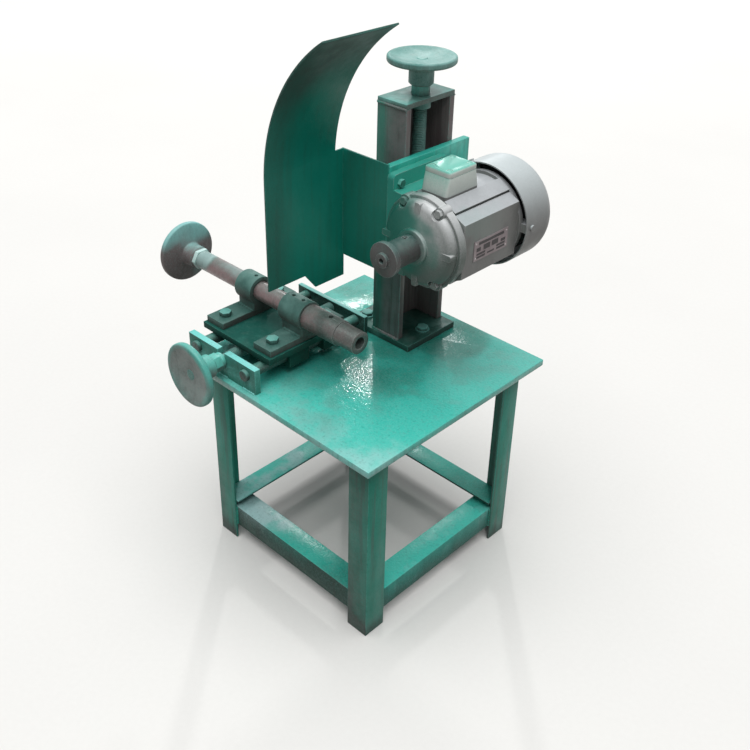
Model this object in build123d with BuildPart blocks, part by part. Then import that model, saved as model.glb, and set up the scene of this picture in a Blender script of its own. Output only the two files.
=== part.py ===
from build123d import *
import math
import os

os.makedirs("parts", exist_ok=True)

# Knife grinding machine on a steel stand, in millimetres.
# The origin is on the floor under the middle of the stand. +Z is up, the operator stands
# at -Y, and +Y runs along the motor's shaft from the wheel hub to the fan.

# Stand
table_x = 300.0
table_y = 300.0
table_t = 8.0
stand_x = 264.0
stand_y = 260.0
leg_h = 258.0
leg_w = 30.0
leg_t = 3.0
stretcher_w = 30.0
stretcher_t = 3.0
stretcher_top = 51.0
back_stretcher_top = 61.0

# Column
column_x = -36.0
column_y = 88.0
channel_h = 80.0
channel_b = 43.0
web_t = 5.0
flange_t = 8.0
channel_root_r = 6.0
column_l = 287.0
cap_t = 6.0
base_t = 8.0
base_front = 19.0
base_back = 38.0
base_side = 3.0
base_bolt_front = 4.0
base_bolt_back = 25.0
base_bolt_side = 23.0

# Bolts: shank, head across flats, head and nut heights
bolt_d = 8.0
bolt_af = 13.0
bolt_head_h = 5.5
nut_h = 6.5
bolt_tail = 5.0
hex_chamfer = 0.8
hole_play = 1.0

# Fits
run_play = 0.1
slide_play = 0.2
shoulder_play = 0.1
face_gap = 0.3

# Hand knobs, three alike
knob_d = 77.0
knob_h = 32.0
knob_hub_d = 28.0
knob_hub_l = 17.5
knob_hub_chamfer = 2.0
knob_hub_root = 3.0
knob_rim = 7.0
knob_lip = 4.5
knob_round = 2.5
knob_dish = 4.0
knob_bowl_r = 140.0
journal_d = 12.0
knob_tip = 0.5

# Elevating screw
lift_in = 27.0
lift_d = 16.0
lift_end_h = 129.0
lift_end_chamfer = 1.5
lift_tip_chamfer = 1.0
thrust_d = 24.0
thrust_l = 8.0
lock_af = 19.0
lock_h = 11.0

# Motor head
plate_t = 9.0
plate_l = 134.0
plate_front = 8.0
plate_below = 71.0
plate_above = 62.0
block_back = 4.0
block_below = 19.0
block_above = 43.0
lift_nut_d = 24.0
lift_nut_flange_d = 32.0
lift_nut_flange_t = 5.0
block_screw_d = 6.0
block_screw_head_d = 12.0
block_screw_l = 24.0
block_screw_across = 46.0
block_screw_span = 40.0
block_sink_angle = 82.0

# Motor
motor_h = 61.5
head_h = 181.0
boss_y = -17.5
shield_l = 28.5
housing_l = 91.0
cover_gap = 2.0
cover_l = 56.0
boss_r = 20.0
boss_step = 4.0
boss_round = 1.5
dome_r = 48.0
dome_l = 6.5
dome_round = 9.0
rim_l = 10.0
rim_chamfer = 0.8
shield_r = 52.0
housing_r = 47.2
panel_h = 62.0
rib_r = 52.0
rib_w = 17.0
rib_angle = 60.0
rib_step = 2.5
groove_w = 1.6
groove_d = 4.5
ear_r = 6.5
ear_l = 13.0
ear_reach = 47.5
ear_pocket = 8.0
pry_l = 13.0
pry_w = 7.0
pry_h = 11.0
pry_round = 2.0
pry_reach = 41.5
bore_r = 42.0
cover_r = 59.5
cover_t = 1.4
cover_fillet = 20.0
foot_across = 90.0
foot_span = 71.0
foot_back = 39.5
foot_wide = 112.0
foot_t = 9.0
foot_round = 6.0
foot_web = 78.0
foot_web_top = 72.0
foot_bolt_d = 5.0
foot_bolt_af = 8.0
foot_bolt_head = 4.0
bearing_od = 32.0
bearing_w = 10.0
bearing_wall = 6.0
bearing_rear_wall = 3.0
shield_t = 5.0
shaft_d = 9.0
shaft_l = 20.0
rotor_shaft_d = 17.0
rotor_d = 50.0
rotor_l = 52.0
stator_l = 48.0
air_gap = 0.4
winding_l = 12.0
winding_r0 = 30.0
winding_r1 = 39.0
fan_d = 98.0
fan_hub_d = 26.0
fan_w = 20.0
fan_t = 2.5
fan_blades = 7
fan_gap = 6.0
fan_bore_d = 10.0
rear_shield_t = 6.0
rear_shield_r = 51.0
lug_w = 10.0
lug_l = 10.0
cover_screw_d = 4.0
cover_screw_l = 8.0
cover_screw_head_d = 7.0
cover_screw_head = 2.0
slot_count = 16
slot_l = 20.0
slot_w = 4.0
slot_reach = 27.0
tie_d = 5.0
tie_af = 8.0
tie_head = 3.5

# Terminal box and name plate
box_x = 35.0
box_y = 44.0
box_in = 30.0
box_seat = 51.0
box_h = 19.5
box_flare = 4.0
box_round = 3.0
box_wall = 2.5
box_post = 7.0
lid_t = 6.5
lid_round = 2.5
box_screw_d = 3.0
box_screw_l = 16.0
box_screw_head_d = 5.5
box_screw_head = 1.6
box_sink_d = 6.0
box_sink = 2.0
name_l = 57.0
name_h = 23.0
name_t = 0.8
name_in = 46.0
name_drop = 4.5

# Wheel hub
hub_d = 30.0
hub_flange_d = 38.0
hub_flange_t = 6.0
hub_reach = 41.0
spigot_d = 16.0
spigot_l = 3.5
hub_thread_d = 6.0
hub_thread_l = 14.0
hub_screw_d = 6.0
hub_screw_in = 9.5
hub_screw_l = 9.5
hub_gap = 1.0

# Spark guard
guard_t = 2.0
guard_behind = 18.4
guard_l = 115.3
guard_neck_l = 14.0
guard_step_l = 45.0
guard_slant_l = 16.0
guard_low = 93.0
guard_high = 73.0
guard_bend_h = 53.0
guard_bend_r = 200.0
guard_bend_angle = 56.6
guard_neck_h = 65.0
guard_web_low = 65.0

# Cross slide
slide_x = -92.0
front_plate_y = -143.0
front_plate_t = 8.0
rear_plate_t = 6.0
bed_l = 165.0
end_plate_w = 119.0
front_plate_h = 32.0
rear_plate_h = 30.0
rod_d = 14.0
rod_span = 86.0
rod_h = 20.0
rod_out = 4.0
rod_chamfer = 1.0
feed_d = 14.0
feed_tail_d = 8.0
feed_collar_d = 20.0
feed_collar_l = 5.0
feed_lock_af = 20.0
feed_lock_h = 10.0
saddle_w = 119.0
saddle_l = 122.0
saddle_t = 8.0
saddle_gap = 14.0
saddle_rise = 9.0
bush_w = 24.0
bush_l = 30.0
bush_h = 20.0
bush_inset = 34.0
bush_back = 4.0
feed_nut_w = 24.0
feed_nut_l = 30.0
feed_nut_h = 20.0

# Pillows and work bar
strip_w = 30.0
strip_l = 114.0
strip_t = 8.0
pillow_span = 84.0
pillow_bolt_span = 82.0
bar_h = 24.0
collar_d = 35.0
collar_l = 35.0
collar_left_l = 28.0
collar_neck = 23.0
oil_d = 4.5
oil_span = 16.0
oil_left_in = 7.5
bar_d = 23.0
bar_tail = 135.0
sleeve_l = 195.2
spindle_d = 12.0
socket_body_l = 51.7
socket_nose_l = 28.0
socket_d = 30.0
socket_nose_d = 26.5
socket_bore_d = 14.0
socket_depth = 50.0
spindle_seat = 22.0
socket_screw_d = 6.0
socket_screw_in = 34.7
bar_nut_af = 24.0
bar_nut_h = 6.0

# Levels and axes that follow from the sizes above
table_z = leg_h + table_t
column_z0 = table_z + base_t
column_z1 = column_z0 + column_l
cap_z1 = column_z1 + cap_t
column_x1 = column_x + channel_b
inner_h = channel_h - 2 * flange_t
base_x0 = column_x - base_back
base_x1 = column_x1 + base_front
base_bolts = [
    (column_x1 + base_bolt_front, column_y),
    (column_x - base_bolt_back, column_y - base_bolt_side),
    (column_x - base_bolt_back, column_y + base_bolt_side),
]
lift_x = column_x + lift_in
lift_axis = Axis((lift_x, column_y, 0), (0, 0, 1))

plate_x0 = column_x1 + face_gap
plate_x1 = plate_x0 + plate_t
motor_x = plate_x1 + motor_h
motor_z = table_z + head_h
motor_axis = Axis((motor_x, 0, motor_z), (0, 1, 0))
seam_y = boss_y + shield_l
rim_y = seam_y - rim_l
ear_y = seam_y - ear_l
housing_y1 = seam_y + housing_l
cover_y0 = housing_y1 + cover_gap
cover_y1 = cover_y0 + cover_l
foot_y0 = boss_y + foot_back
foot_y = foot_y0 + foot_span / 2
plate_y0 = foot_y0 - plate_front
plate_z0 = motor_z - plate_below
plate_z1 = motor_z + plate_above
block_x0 = column_x + web_t + block_back
block_z0 = motor_z - block_below
block_z1 = motor_z + block_above

rod_z = table_z + rod_h
rear_plate_y = front_plate_y + front_plate_t + bed_l
saddle_y0 = front_plate_y + front_plate_t + saddle_gap
saddle_y1 = saddle_y0 + saddle_l
saddle_y = (saddle_y0 + saddle_y1) / 2
saddle_z = rod_z + saddle_rise
strip_z = saddle_z + saddle_t
strip_top = strip_z + strip_t
bar_z = strip_top + bar_h
feed_axis = Axis((slide_x, 0, rod_z), (0, 1, 0))
bar_axis = Axis((0, saddle_y, bar_z), (1, 0, 0))
rod_left_x = slide_x - rod_span / 2
rod_right_x = slide_x + rod_span / 2
pillow_left_x = slide_x - pillow_span / 2
pillow_right_x = slide_x + pillow_span / 2
collar_left_x1 = pillow_left_x + collar_l / 2
bar_x0 = slide_x - bar_tail
socket_x0 = bar_x0 + sleeve_l + shoulder_play
socket_step_x = socket_x0 + socket_body_l
socket_x1 = socket_step_x + socket_nose_l


# Half section of a hand knob: radius across, height from the hub's seat up
knob_r = knob_d / 2
knob_hub_r = knob_hub_d / 2
with BuildSketch() as knob_half:
    with BuildLine():
        knob_bowl = RadiusArc(
            (knob_r - knob_lip, knob_h),
            (journal_d / 2, knob_h - knob_dish),
            knob_bowl_r,
        )
        Polyline(
            knob_bowl @ 1,
            (journal_d / 2, 0),
            (knob_hub_r - knob_hub_chamfer, 0),
            (knob_hub_r, knob_hub_chamfer),
            (knob_hub_r, knob_hub_l),
            (knob_r, knob_h - knob_rim),
            (knob_r, knob_h),
            knob_bowl @ 0,
        )
    make_face()
    knob_edge = knob_half.vertices().sort_by_distance((knob_r, knob_h, 0))[0]
    fillet(knob_edge, knob_round)
    knob_heel = knob_half.vertices().sort_by_distance((knob_r, knob_h - knob_rim, 0))[0]
    fillet(knob_heel, knob_round)
    knob_root = knob_half.vertices().sort_by_distance((knob_hub_r, knob_hub_l, 0))[0]
    fillet(knob_root, knob_hub_root)

# Stand: four angle legs, outer corners outward
with BuildPart() as leg_front_left:
    with BuildSketch(Plane.XY) as leg_sk:
        with Locations((-stand_x / 2, -stand_y / 2)):
            Rectangle(leg_w, leg_t, align=Align.MIN)
            Rectangle(leg_t, leg_w, align=Align.MIN)
    extrude(amount=leg_h)
leg_front_left.part.label = "leg_front_left"
export_step(leg_front_left.part, "parts/leg_front_left.step")

with BuildPart() as leg_front_right:
    with BuildSketch(Plane.XY):
        with Locations((stand_x / 2, -stand_y / 2)):
            Rectangle(leg_w, leg_t, align=(Align.MAX, Align.MIN))
            Rectangle(leg_t, leg_w, align=(Align.MAX, Align.MIN))
    extrude(amount=leg_h)
leg_front_right.part.label = "leg_front_right"
export_step(leg_front_right.part, "parts/leg_front_right.step")

with BuildPart() as leg_rear_left:
    with BuildSketch(Plane.XY):
        with Locations((-stand_x / 2, stand_y / 2)):
            Rectangle(leg_w, leg_t, align=(Align.MIN, Align.MAX))
            Rectangle(leg_t, leg_w, align=(Align.MIN, Align.MAX))
    extrude(amount=leg_h)
leg_rear_left.part.label = "leg_rear_left"
export_step(leg_rear_left.part, "parts/leg_rear_left.step")

with BuildPart() as leg_rear_right:
    with BuildSketch(Plane.XY):
        with Locations((stand_x / 2, stand_y / 2)):
            Rectangle(leg_w, leg_t, align=Align.MAX)
            Rectangle(leg_t, leg_w, align=Align.MAX)
    extrude(amount=leg_h)
leg_rear_right.part.label = "leg_rear_right"
export_step(leg_rear_right.part, "parts/leg_rear_right.step")

# Front and rear stretchers run inside the legs, one flange upright and one lying on top.
# The two at the back sit higher.
front_y = stand_y / 2 - leg_t
side_x = stand_x / 2 - leg_t
with BuildPart() as stretchers_front_rear:
    with BuildSketch(Plane.YZ.offset(-side_x)):
        with Locations((-front_y, stretcher_top)):
            Rectangle(stretcher_t, stretcher_w, align=(Align.MIN, Align.MAX))
            Rectangle(stretcher_w, stretcher_t, align=(Align.MIN, Align.MAX))
        with Locations((front_y, back_stretcher_top)):
            Rectangle(stretcher_t, stretcher_w, align=(Align.MAX, Align.MAX))
            Rectangle(stretcher_w, stretcher_t, align=(Align.MAX, Align.MAX))
    extrude(amount=2 * side_x)
stretchers_front_rear.part.label = "stretchers_front_rear"
export_step(stretchers_front_rear.part, "parts/stretchers_front_rear.step")

# Side stretchers: the upright flange reaches the upright one it meets, and the lying flange
# is coped back where another lies at its level. The higher one steps over the front one.
stretcher_y1 = front_y - stretcher_t
with BuildPart() as stretchers_sides:
    with BuildSketch(Plane.XZ.offset(-stretcher_y1)):
        with Locations((side_x, stretcher_top - stretcher_t)):
            Rectangle(stretcher_t, stretcher_w - stretcher_t, align=(Align.MAX, Align.MAX))
    extrude(amount=2 * stretcher_y1)
    with BuildSketch(Plane.XZ.offset(-stretcher_y1)):
        with Locations((side_x, stretcher_top)):
            Rectangle(stretcher_w, stretcher_t, align=(Align.MAX, Align.MAX))
    extrude(amount=stretcher_y1 + front_y - stretcher_w)
    with BuildSketch(Plane.XZ.offset(-stretcher_y1)):
        with Locations((-side_x, back_stretcher_top)):
            Rectangle(stretcher_t, stretcher_w, align=(Align.MIN, Align.MAX))
            Rectangle(stretcher_w, stretcher_t, align=(Align.MIN, Align.MAX))
    extrude(amount=stretcher_y1 + front_y)
    with BuildSketch(Plane.XY.offset(back_stretcher_top)):
        with Locations((-side_x, front_y)):
            Rectangle(stretcher_w, stretcher_w, align=(Align.MIN, Align.MAX))
    extrude(amount=-stretcher_t, mode=Mode.SUBTRACT)
    with BuildSketch(Plane.XY.offset(stretcher_top)):
        with Locations((-side_x, -front_y)):
            Rectangle(stretcher_w, stretcher_w, align=Align.MIN)
    extrude(amount=-stretcher_w, mode=Mode.SUBTRACT)
stretchers_sides.part.label = "stretchers_sides"
export_step(stretchers_sides.part, "parts/stretchers_sides.step")

# Table plate, drilled for the column's three bolts
with BuildPart() as table_plate:
    with BuildSketch(Plane.XY.offset(leg_h)):
        Rectangle(table_x, table_y)
        with Locations(*base_bolts):
            Circle((bolt_d + hole_play) / 2, mode=Mode.SUBTRACT)
    extrude(amount=table_t)
table_plate.part.label = "table_plate"
export_step(table_plate.part, "parts/table_plate.step")

# Column: base plate, rolled channel open to +X, cap plate
with BuildPart() as column_base_plate:
    with BuildSketch(Plane.XY.offset(table_z)):
        with Locations(((base_x0 + base_x1) / 2, column_y)):
            Rectangle(base_x1 - base_x0, channel_h + 2 * base_side)
        with Locations(*base_bolts):
            Circle((bolt_d + hole_play) / 2, mode=Mode.SUBTRACT)
    extrude(amount=base_t)
column_base_plate.part.label = "column_base_plate"
export_step(column_base_plate.part, "parts/column_base_plate.step")

with BuildPart() as column_channel:
    with BuildSketch(Plane.XY.offset(column_z0)) as channel_sk:
        with Locations((column_x, column_y)):
            Rectangle(channel_b, channel_h, align=(Align.MIN, Align.CENTER))
        with Locations((column_x + web_t, column_y)):
            Rectangle(channel_b - web_t, inner_h, align=(Align.MIN, Align.CENTER), mode=Mode.SUBTRACT)
        roots = channel_sk.vertices().filter_by(lambda v: abs(v.X - column_x - web_t) < 0.01)
        fillet(roots, channel_root_r)
    extrude(amount=column_l)
column_channel.part.label = "column_channel"
export_step(column_channel.part, "parts/column_channel.step")

with BuildPart() as column_cap_plate:
    with BuildSketch(Plane.XY.offset(column_z1)):
        with Locations((column_x, column_y)):
            Rectangle(channel_b, channel_h, align=(Align.MIN, Align.CENTER))
        with Locations((lift_x, column_y)):
            Circle((journal_d + run_play) / 2, mode=Mode.SUBTRACT)
    extrude(amount=cap_t)
column_cap_plate.part.label = "column_cap_plate"
export_step(column_cap_plate.part, "parts/column_cap_plate.step")

with BuildPart() as column_base_bolts:
    with BuildSketch(Plane.XY.offset(column_z0)):
        with Locations(*base_bolts):
            RegularPolygon(bolt_af / 2, 6, major_radius=False)
    extrude(amount=bolt_head_h)
    chamfer(column_base_bolts.faces().sort_by(Axis.Z)[-3:].edges(), hex_chamfer)
    with BuildSketch(Plane.XY.offset(column_z0)):
        with Locations(*base_bolts):
            Circle(bolt_d / 2)
    extrude(amount=-(base_t + table_t + nut_h + bolt_tail))
column_base_bolts.part.label = "column_base_bolts"
export_step(column_base_bolts.part, "parts/column_base_bolts.step")

with BuildPart() as column_base_nuts:
    with BuildSketch(Plane.XY.offset(leg_h)):
        with Locations(*base_bolts):
            RegularPolygon(bolt_af / 2, 6, major_radius=False)
            Circle(bolt_d / 2, mode=Mode.SUBTRACT)
    extrude(amount=-nut_h)
column_base_nuts.part.label = "column_base_nuts"
export_step(column_base_nuts.part, "parts/column_base_nuts.step")

# Elevating screw: hangs from the cap plate between a thrust collar and a lock nut
lift_end_z = table_z + lift_end_h
lift_shoulder_z = column_z1 - shoulder_play - thrust_l
lift_lock_z = cap_z1 + shoulder_play
lift_knob_z = lift_lock_z + lock_h
with BuildPart() as elevating_screw:
    with BuildSketch(Plane.XY.offset(lift_end_z)):
        with Locations((lift_x, column_y)):
            Circle(lift_d / 2)
    extrude(amount=lift_shoulder_z - lift_end_z)
    chamfer(elevating_screw.faces().sort_by(Axis.Z)[0].edges(), lift_end_chamfer)
    with BuildSketch(Plane.XY.offset(lift_shoulder_z)):
        with Locations((lift_x, column_y)):
            Circle(journal_d / 2)
    extrude(amount=lift_knob_z + knob_h - knob_dish + knob_tip - lift_shoulder_z)
    chamfer(elevating_screw.faces().sort_by(Axis.Z)[-1].edges(), lift_tip_chamfer)
elevating_screw.part.label = "elevating_screw"
export_step(elevating_screw.part, "parts/elevating_screw.step")

with BuildPart() as elevating_thrust_collar:
    with BuildSketch(Plane.XY.offset(lift_shoulder_z)):
        with Locations((lift_x, column_y)):
            Circle(thrust_d / 2)
            Circle(journal_d / 2, mode=Mode.SUBTRACT)
    extrude(amount=thrust_l)
elevating_thrust_collar.part.label = "elevating_thrust_collar"
export_step(elevating_thrust_collar.part, "parts/elevating_thrust_collar.step")

with BuildPart() as elevating_lock_nut:
    with BuildSketch(Plane.XY.offset(lift_lock_z)):
        with Locations((lift_x, column_y)):
            RegularPolygon(lock_af / 2, 6, major_radius=False)
            Circle(journal_d / 2, mode=Mode.SUBTRACT)
    extrude(amount=lock_h)
elevating_lock_nut.part.label = "elevating_lock_nut"
export_step(elevating_lock_nut.part, "parts/elevating_lock_nut.step")

with BuildPart() as elevating_knob:
    with BuildSketch(Plane((lift_x, column_y, lift_knob_z), x_dir=(1, 0, 0), z_dir=(0, -1, 0))):
        add(knob_half.sketch)
    revolve(axis=lift_axis)
elevating_knob.part.label = "elevating_knob"
export_step(elevating_knob.part, "parts/elevating_knob.step")

# Motor plate: carries the motor's feet in front and the slide block behind
block_z = (block_z0 + block_z1) / 2
with BuildPart() as motor_plate:
    with BuildSketch(Plane.YZ.offset(plate_x0)):
        with Locations((plate_y0, plate_z0)):
            Rectangle(plate_l, plate_z1 - plate_z0, align=Align.MIN)
        with Locations((foot_y, motor_z)):
            with GridLocations(foot_span, foot_across, 2, 2):
                Circle(foot_bolt_d / 2, mode=Mode.SUBTRACT)
    extrude(amount=plate_t)
    with Locations(Plane((plate_x1, column_y, block_z), x_dir=(0, 1, 0), z_dir=(1, 0, 0))):
        with GridLocations(block_screw_across, block_screw_span, 2, 2):
            CounterSinkHole(
                block_screw_d / 2,
                block_screw_head_d / 2,
                depth=plate_t,
                counter_sink_angle=block_sink_angle,
            )
motor_plate.part.label = "motor_plate"
export_step(motor_plate.part, "parts/motor_plate.step")

# Slide block: runs between the channel's flanges and holds the elevating nut
with BuildPart() as slide_block:
    with BuildSketch(Plane.XY.offset(block_z0)):
        with Locations((block_x0, column_y)):
            Rectangle(plate_x0 - block_x0, inner_h - 2 * slide_play, align=(Align.MIN, Align.CENTER))
        with Locations((lift_x, column_y)):
            Circle(lift_nut_d / 2, mode=Mode.SUBTRACT)
    extrude(amount=block_z1 - block_z0)
    chamfer(slide_block.edges().filter_by(Axis.Z).group_by(Axis.X)[0], channel_root_r / 2)
    with Locations(Plane((plate_x0, column_y, block_z), x_dir=(0, 1, 0), z_dir=(1, 0, 0))):
        with GridLocations(block_screw_across, block_screw_span, 2, 2):
            Hole(block_screw_d / 2, depth=block_screw_l - plate_t)
slide_block.part.label = "slide_block"
export_step(slide_block.part, "parts/slide_block.step")

block_sink_h = (block_screw_head_d - block_screw_d) / 2 / math.tan(math.radians(block_sink_angle / 2))
with BuildPart() as slide_block_screws:
    with Locations(Plane((plate_x1, column_y, block_z), x_dir=(0, 1, 0), z_dir=(-1, 0, 0))):
        with GridLocations(block_screw_across, block_screw_span, 2, 2):
            Cylinder(block_screw_d / 2, block_screw_l, align=(Align.CENTER, Align.CENTER, Align.MIN))
            Cone(
                block_screw_head_d / 2,
                block_screw_d / 2,
                block_sink_h,
                align=(Align.CENTER, Align.CENTER, Align.MIN),
            )
slide_block_screws.part.label = "slide_block_screws"
export_step(slide_block_screws.part, "parts/slide_block_screws.step")

# Flanged nut of the elevating screw, let into the block from below
with BuildPart() as elevating_nut:
    with BuildSketch(Plane.XY.offset(block_z0)):
        with Locations((lift_x, column_y)):
            Circle(lift_nut_d / 2)
            Circle((lift_d + run_play) / 2, mode=Mode.SUBTRACT)
    extrude(amount=block_z1 - block_z0)
    with BuildSketch(Plane.XY.offset(block_z0)):
        with Locations((lift_x, column_y)):
            Circle(lift_nut_flange_d / 2)
            Circle((lift_d + run_play) / 2, mode=Mode.SUBTRACT)
    extrude(amount=-lift_nut_flange_t)
elevating_nut.part.label = "elevating_nut"
export_step(elevating_nut.part, "parts/elevating_nut.step")

# Motor housing: round body with a flat panel, tie-bolt ribs, feet and a terminal pad
rib_c = math.cos(math.radians(rib_angle))
rib_s = math.sin(math.radians(rib_angle))
facet_r = rib_r - rib_step
facet_w = rib_w / 2 + groove_w
facet_x = facet_r * rib_c + facet_w * rib_s
facet_z = facet_r * rib_s - facet_w * rib_c
root_x = facet_x - groove_d * rib_c
root_z = facet_z - groove_d * rib_s
ear_x = ear_reach * rib_c
ear_z = ear_reach * rib_s
box_y_mid = seam_y + box_in
with BuildPart() as motor_housing:
    with BuildSketch(Plane.XZ.offset(-housing_y1)):
        with Locations((motor_x, motor_z)):
            Circle(housing_r)
            Rectangle(2 * rib_r, rib_w, rotation=rib_angle)
            Rectangle(2 * rib_r, rib_w, rotation=-rib_angle)
            Polygon(
                (root_x, -root_z),
                (facet_x, -facet_z),
                (housing_r, -panel_h / 2),
                (housing_r, panel_h / 2),
                (facet_x, facet_z),
                (root_x, root_z),
                align=None,
            )
            Polygon(
                (-motor_h, -foot_wide / 2),
                (foot_t - motor_h, -foot_wide / 2),
                (foot_t - motor_h, -foot_web / 2),
                (0, -foot_web_top / 2),
                (0, foot_web_top / 2),
                (foot_t - motor_h, foot_web / 2),
                (foot_t - motor_h, foot_wide / 2),
                (-motor_h, foot_wide / 2),
                align=None,
            )
    extrude(amount=housing_y1 - seam_y)
    foot_ends = motor_housing.edges().filter_by(Axis.X).sort_by(Axis.Z)
    fillet(foot_ends[:2] + foot_ends[-2:], foot_round)
    with BuildSketch(Plane.XY.offset(motor_z)):
        with Locations((motor_x, box_y_mid)):
            RectangleRounded(box_x, box_y + 2 * box_flare, box_round)
    extrude(amount=box_seat)
    with BuildSketch(Plane.XZ.offset(-housing_y1)):
        with Locations((motor_x, motor_z)):
            Circle(bore_r)
            with GridLocations(2 * ear_x, 2 * ear_z, 2, 2):
                Circle((tie_d + hole_play) / 2)
    extrude(amount=housing_y1 - seam_y, mode=Mode.SUBTRACT)
    with BuildSketch(Plane.YZ.offset(plate_x1)):
        with Locations((foot_y, motor_z)):
            with GridLocations(foot_span, foot_across, 2, 2):
                Circle((foot_bolt_d + hole_play) / 2)
    extrude(amount=foot_t, mode=Mode.SUBTRACT)
motor_housing.part.label = "motor_housing"
export_step(motor_housing.part, "parts/motor_housing.step")

# Front end shield: a dome on a rim, with the bearing pocket behind its boss, four ears that
# sink the tie bolts' heads and four lugs to pry it off by
front_bearing_y = boss_y + bearing_wall
bearing_id = journal_d
shaft_hole_r = (bearing_id + hole_play) / 2
dome_y = boss_y + boss_step + dome_l
with BuildPart() as motor_front_shield:
    with BuildSketch(Plane.XY.offset(motor_z)) as shield_sk:
        with Locations((motor_x, 0)):
            Polygon(
                (shaft_hole_r, front_bearing_y),
                (shaft_hole_r, boss_y),
                (boss_r, boss_y),
                (boss_r, boss_y + boss_step),
                (dome_r, dome_y),
                (dome_r, rim_y),
                (shield_r, rim_y),
                (shield_r, seam_y),
                (bore_r, seam_y),
                (bore_r, seam_y - shield_t),
                (bearing_od / 2 + shield_t, front_bearing_y + bearing_w),
                (bearing_od / 2, front_bearing_y + bearing_w),
                (bearing_od / 2, front_bearing_y),
                align=None,
            )
        outer = shield_sk.vertices().sort_by_distance((motor_x + boss_r, boss_y, motor_z))
        fillet(outer[0], boss_round)
        shoulder = shield_sk.vertices().sort_by_distance((motor_x + dome_r, dome_y, motor_z))
        fillet(shoulder[0], dome_round)
        rim = shield_sk.vertices().sort_by_distance((motor_x + shield_r, rim_y, motor_z))
        chamfer(rim[0], rim_chamfer)
        seam = shield_sk.vertices().sort_by_distance((motor_x + shield_r, seam_y, motor_z))
        chamfer(seam[0], rim_chamfer)
    revolve(axis=motor_axis)
    with BuildSketch(Plane.XZ.offset(-rim_y)):
        with Locations((motor_x, motor_z)):
            with PolarLocations(pry_reach, 4):
                RectangleRounded(pry_l, pry_w, pry_round)
    extrude(amount=pry_h)
    with BuildSketch(Plane.XZ.offset(-seam_y)):
        with Locations((motor_x, motor_z)):
            with GridLocations(2 * ear_x, 2 * ear_z, 2, 2):
                Circle(ear_r)
    extrude(amount=ear_l)
    with BuildSketch(Plane.XZ.offset(-seam_y)):
        with Locations((motor_x, motor_z)):
            with GridLocations(2 * ear_x, 2 * ear_z, 2, 2):
                Circle((tie_d + hole_play) / 2)
    extrude(amount=ear_l, mode=Mode.SUBTRACT)
    with BuildSketch(Plane.XZ.offset(-ear_y)):
        with Locations((motor_x, motor_z)):
            with GridLocations(2 * ear_x, 2 * ear_z, 2, 2):
                Circle(ear_r)
    extrude(amount=ear_pocket, mode=Mode.SUBTRACT)
motor_front_shield.part.label = "motor_front_shield"
export_step(motor_front_shield.part, "parts/motor_front_shield.step")

# Rear end shield: bearing pocket, and three lugs that carry the fan cover
rear_boss_y = housing_y1 + bearing_w + bearing_rear_wall
lug_y = housing_y1 + rear_shield_t
lug_turns = [math.radians(turn) for turn in (0, 120, 240)]
lug_r = cover_r - cover_t
lug_planes = [
    Plane(
        (motor_x + lug_r * math.cos(turn), lug_y + lug_l / 2, motor_z + lug_r * math.sin(turn)),
        x_dir=(0, 1, 0),
        z_dir=(math.cos(turn), 0, math.sin(turn)),
    )
    for turn in lug_turns
]
with BuildPart() as motor_rear_shield:
    with BuildSketch(Plane.XY.offset(motor_z)):
        with Locations((motor_x, 0)):
            Polygon(
                (bearing_od / 2, housing_y1),
                (rear_shield_r, housing_y1),
                (rear_shield_r, lug_y),
                (bearing_od / 2 + shield_t, lug_y),
                (bearing_od / 2 + shield_t, rear_boss_y),
                (shaft_hole_r, rear_boss_y),
                (shaft_hole_r, housing_y1 + bearing_w),
                (bearing_od / 2, housing_y1 + bearing_w),
                align=None,
            )
    revolve(axis=motor_axis)
    with BuildSketch(Plane.XZ.offset(-(lug_y + lug_l))):
        with Locations((motor_x, motor_z)):
            with PolarLocations(0, 3):
                with Locations((rear_shield_r - lug_w, 0)):
                    Rectangle(
                        lug_r - rear_shield_r + lug_w,
                        lug_w,
                        align=(Align.MIN, Align.CENTER),
                    )
    extrude(amount=lug_l + rear_shield_t / 2)
    with BuildSketch(Plane.XZ.offset(-(lug_y + lug_l))):
        with Locations((motor_x, motor_z)):
            Circle(cover_r)
            Circle(cover_r - cover_t, mode=Mode.SUBTRACT)
    extrude(amount=lug_l + rear_shield_t / 2, mode=Mode.SUBTRACT)
    with BuildSketch(Plane.XZ.offset(-housing_y1)):
        with Locations((motor_x, motor_z)):
            with GridLocations(2 * ear_x, 2 * ear_z, 2, 2):
                Circle(tie_d / 2)
    extrude(amount=-rear_shield_t, mode=Mode.SUBTRACT)
    with Locations(*lug_planes):
        Hole(cover_screw_d / 2, depth=cover_screw_l - cover_t)
motor_rear_shield.part.label = "motor_rear_shield"
export_step(motor_rear_shield.part, "parts/motor_rear_shield.step")

# Fan cover: pressed steel cowl with a slotted end, held by three screws
with BuildPart() as motor_fan_cover:
    with BuildSketch(Plane.XZ.offset(-cover_y1)):
        with Locations((motor_x, motor_z)):
            Circle(cover_r)
    extrude(amount=cover_y1 - cover_y0)
    fillet(motor_fan_cover.faces().sort_by(Axis.Y)[-1].edges(), cover_fillet)
    offset(amount=-cover_t, openings=motor_fan_cover.faces().sort_by(Axis.Y)[0])
    with BuildSketch(Plane.XZ.offset(-cover_y1)):
        with Locations((motor_x, motor_z)):
            with PolarLocations(slot_reach, slot_count):
                SlotOverall(slot_l, slot_w)
    extrude(amount=2 * cover_t, mode=Mode.SUBTRACT)
    with Locations(*[plane.offset(cover_t) for plane in lug_planes]):
        Hole(cover_screw_d / 2, depth=2 * cover_t)
motor_fan_cover.part.label = "motor_fan_cover"
export_step(motor_fan_cover.part, "parts/motor_fan_cover.step")

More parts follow.
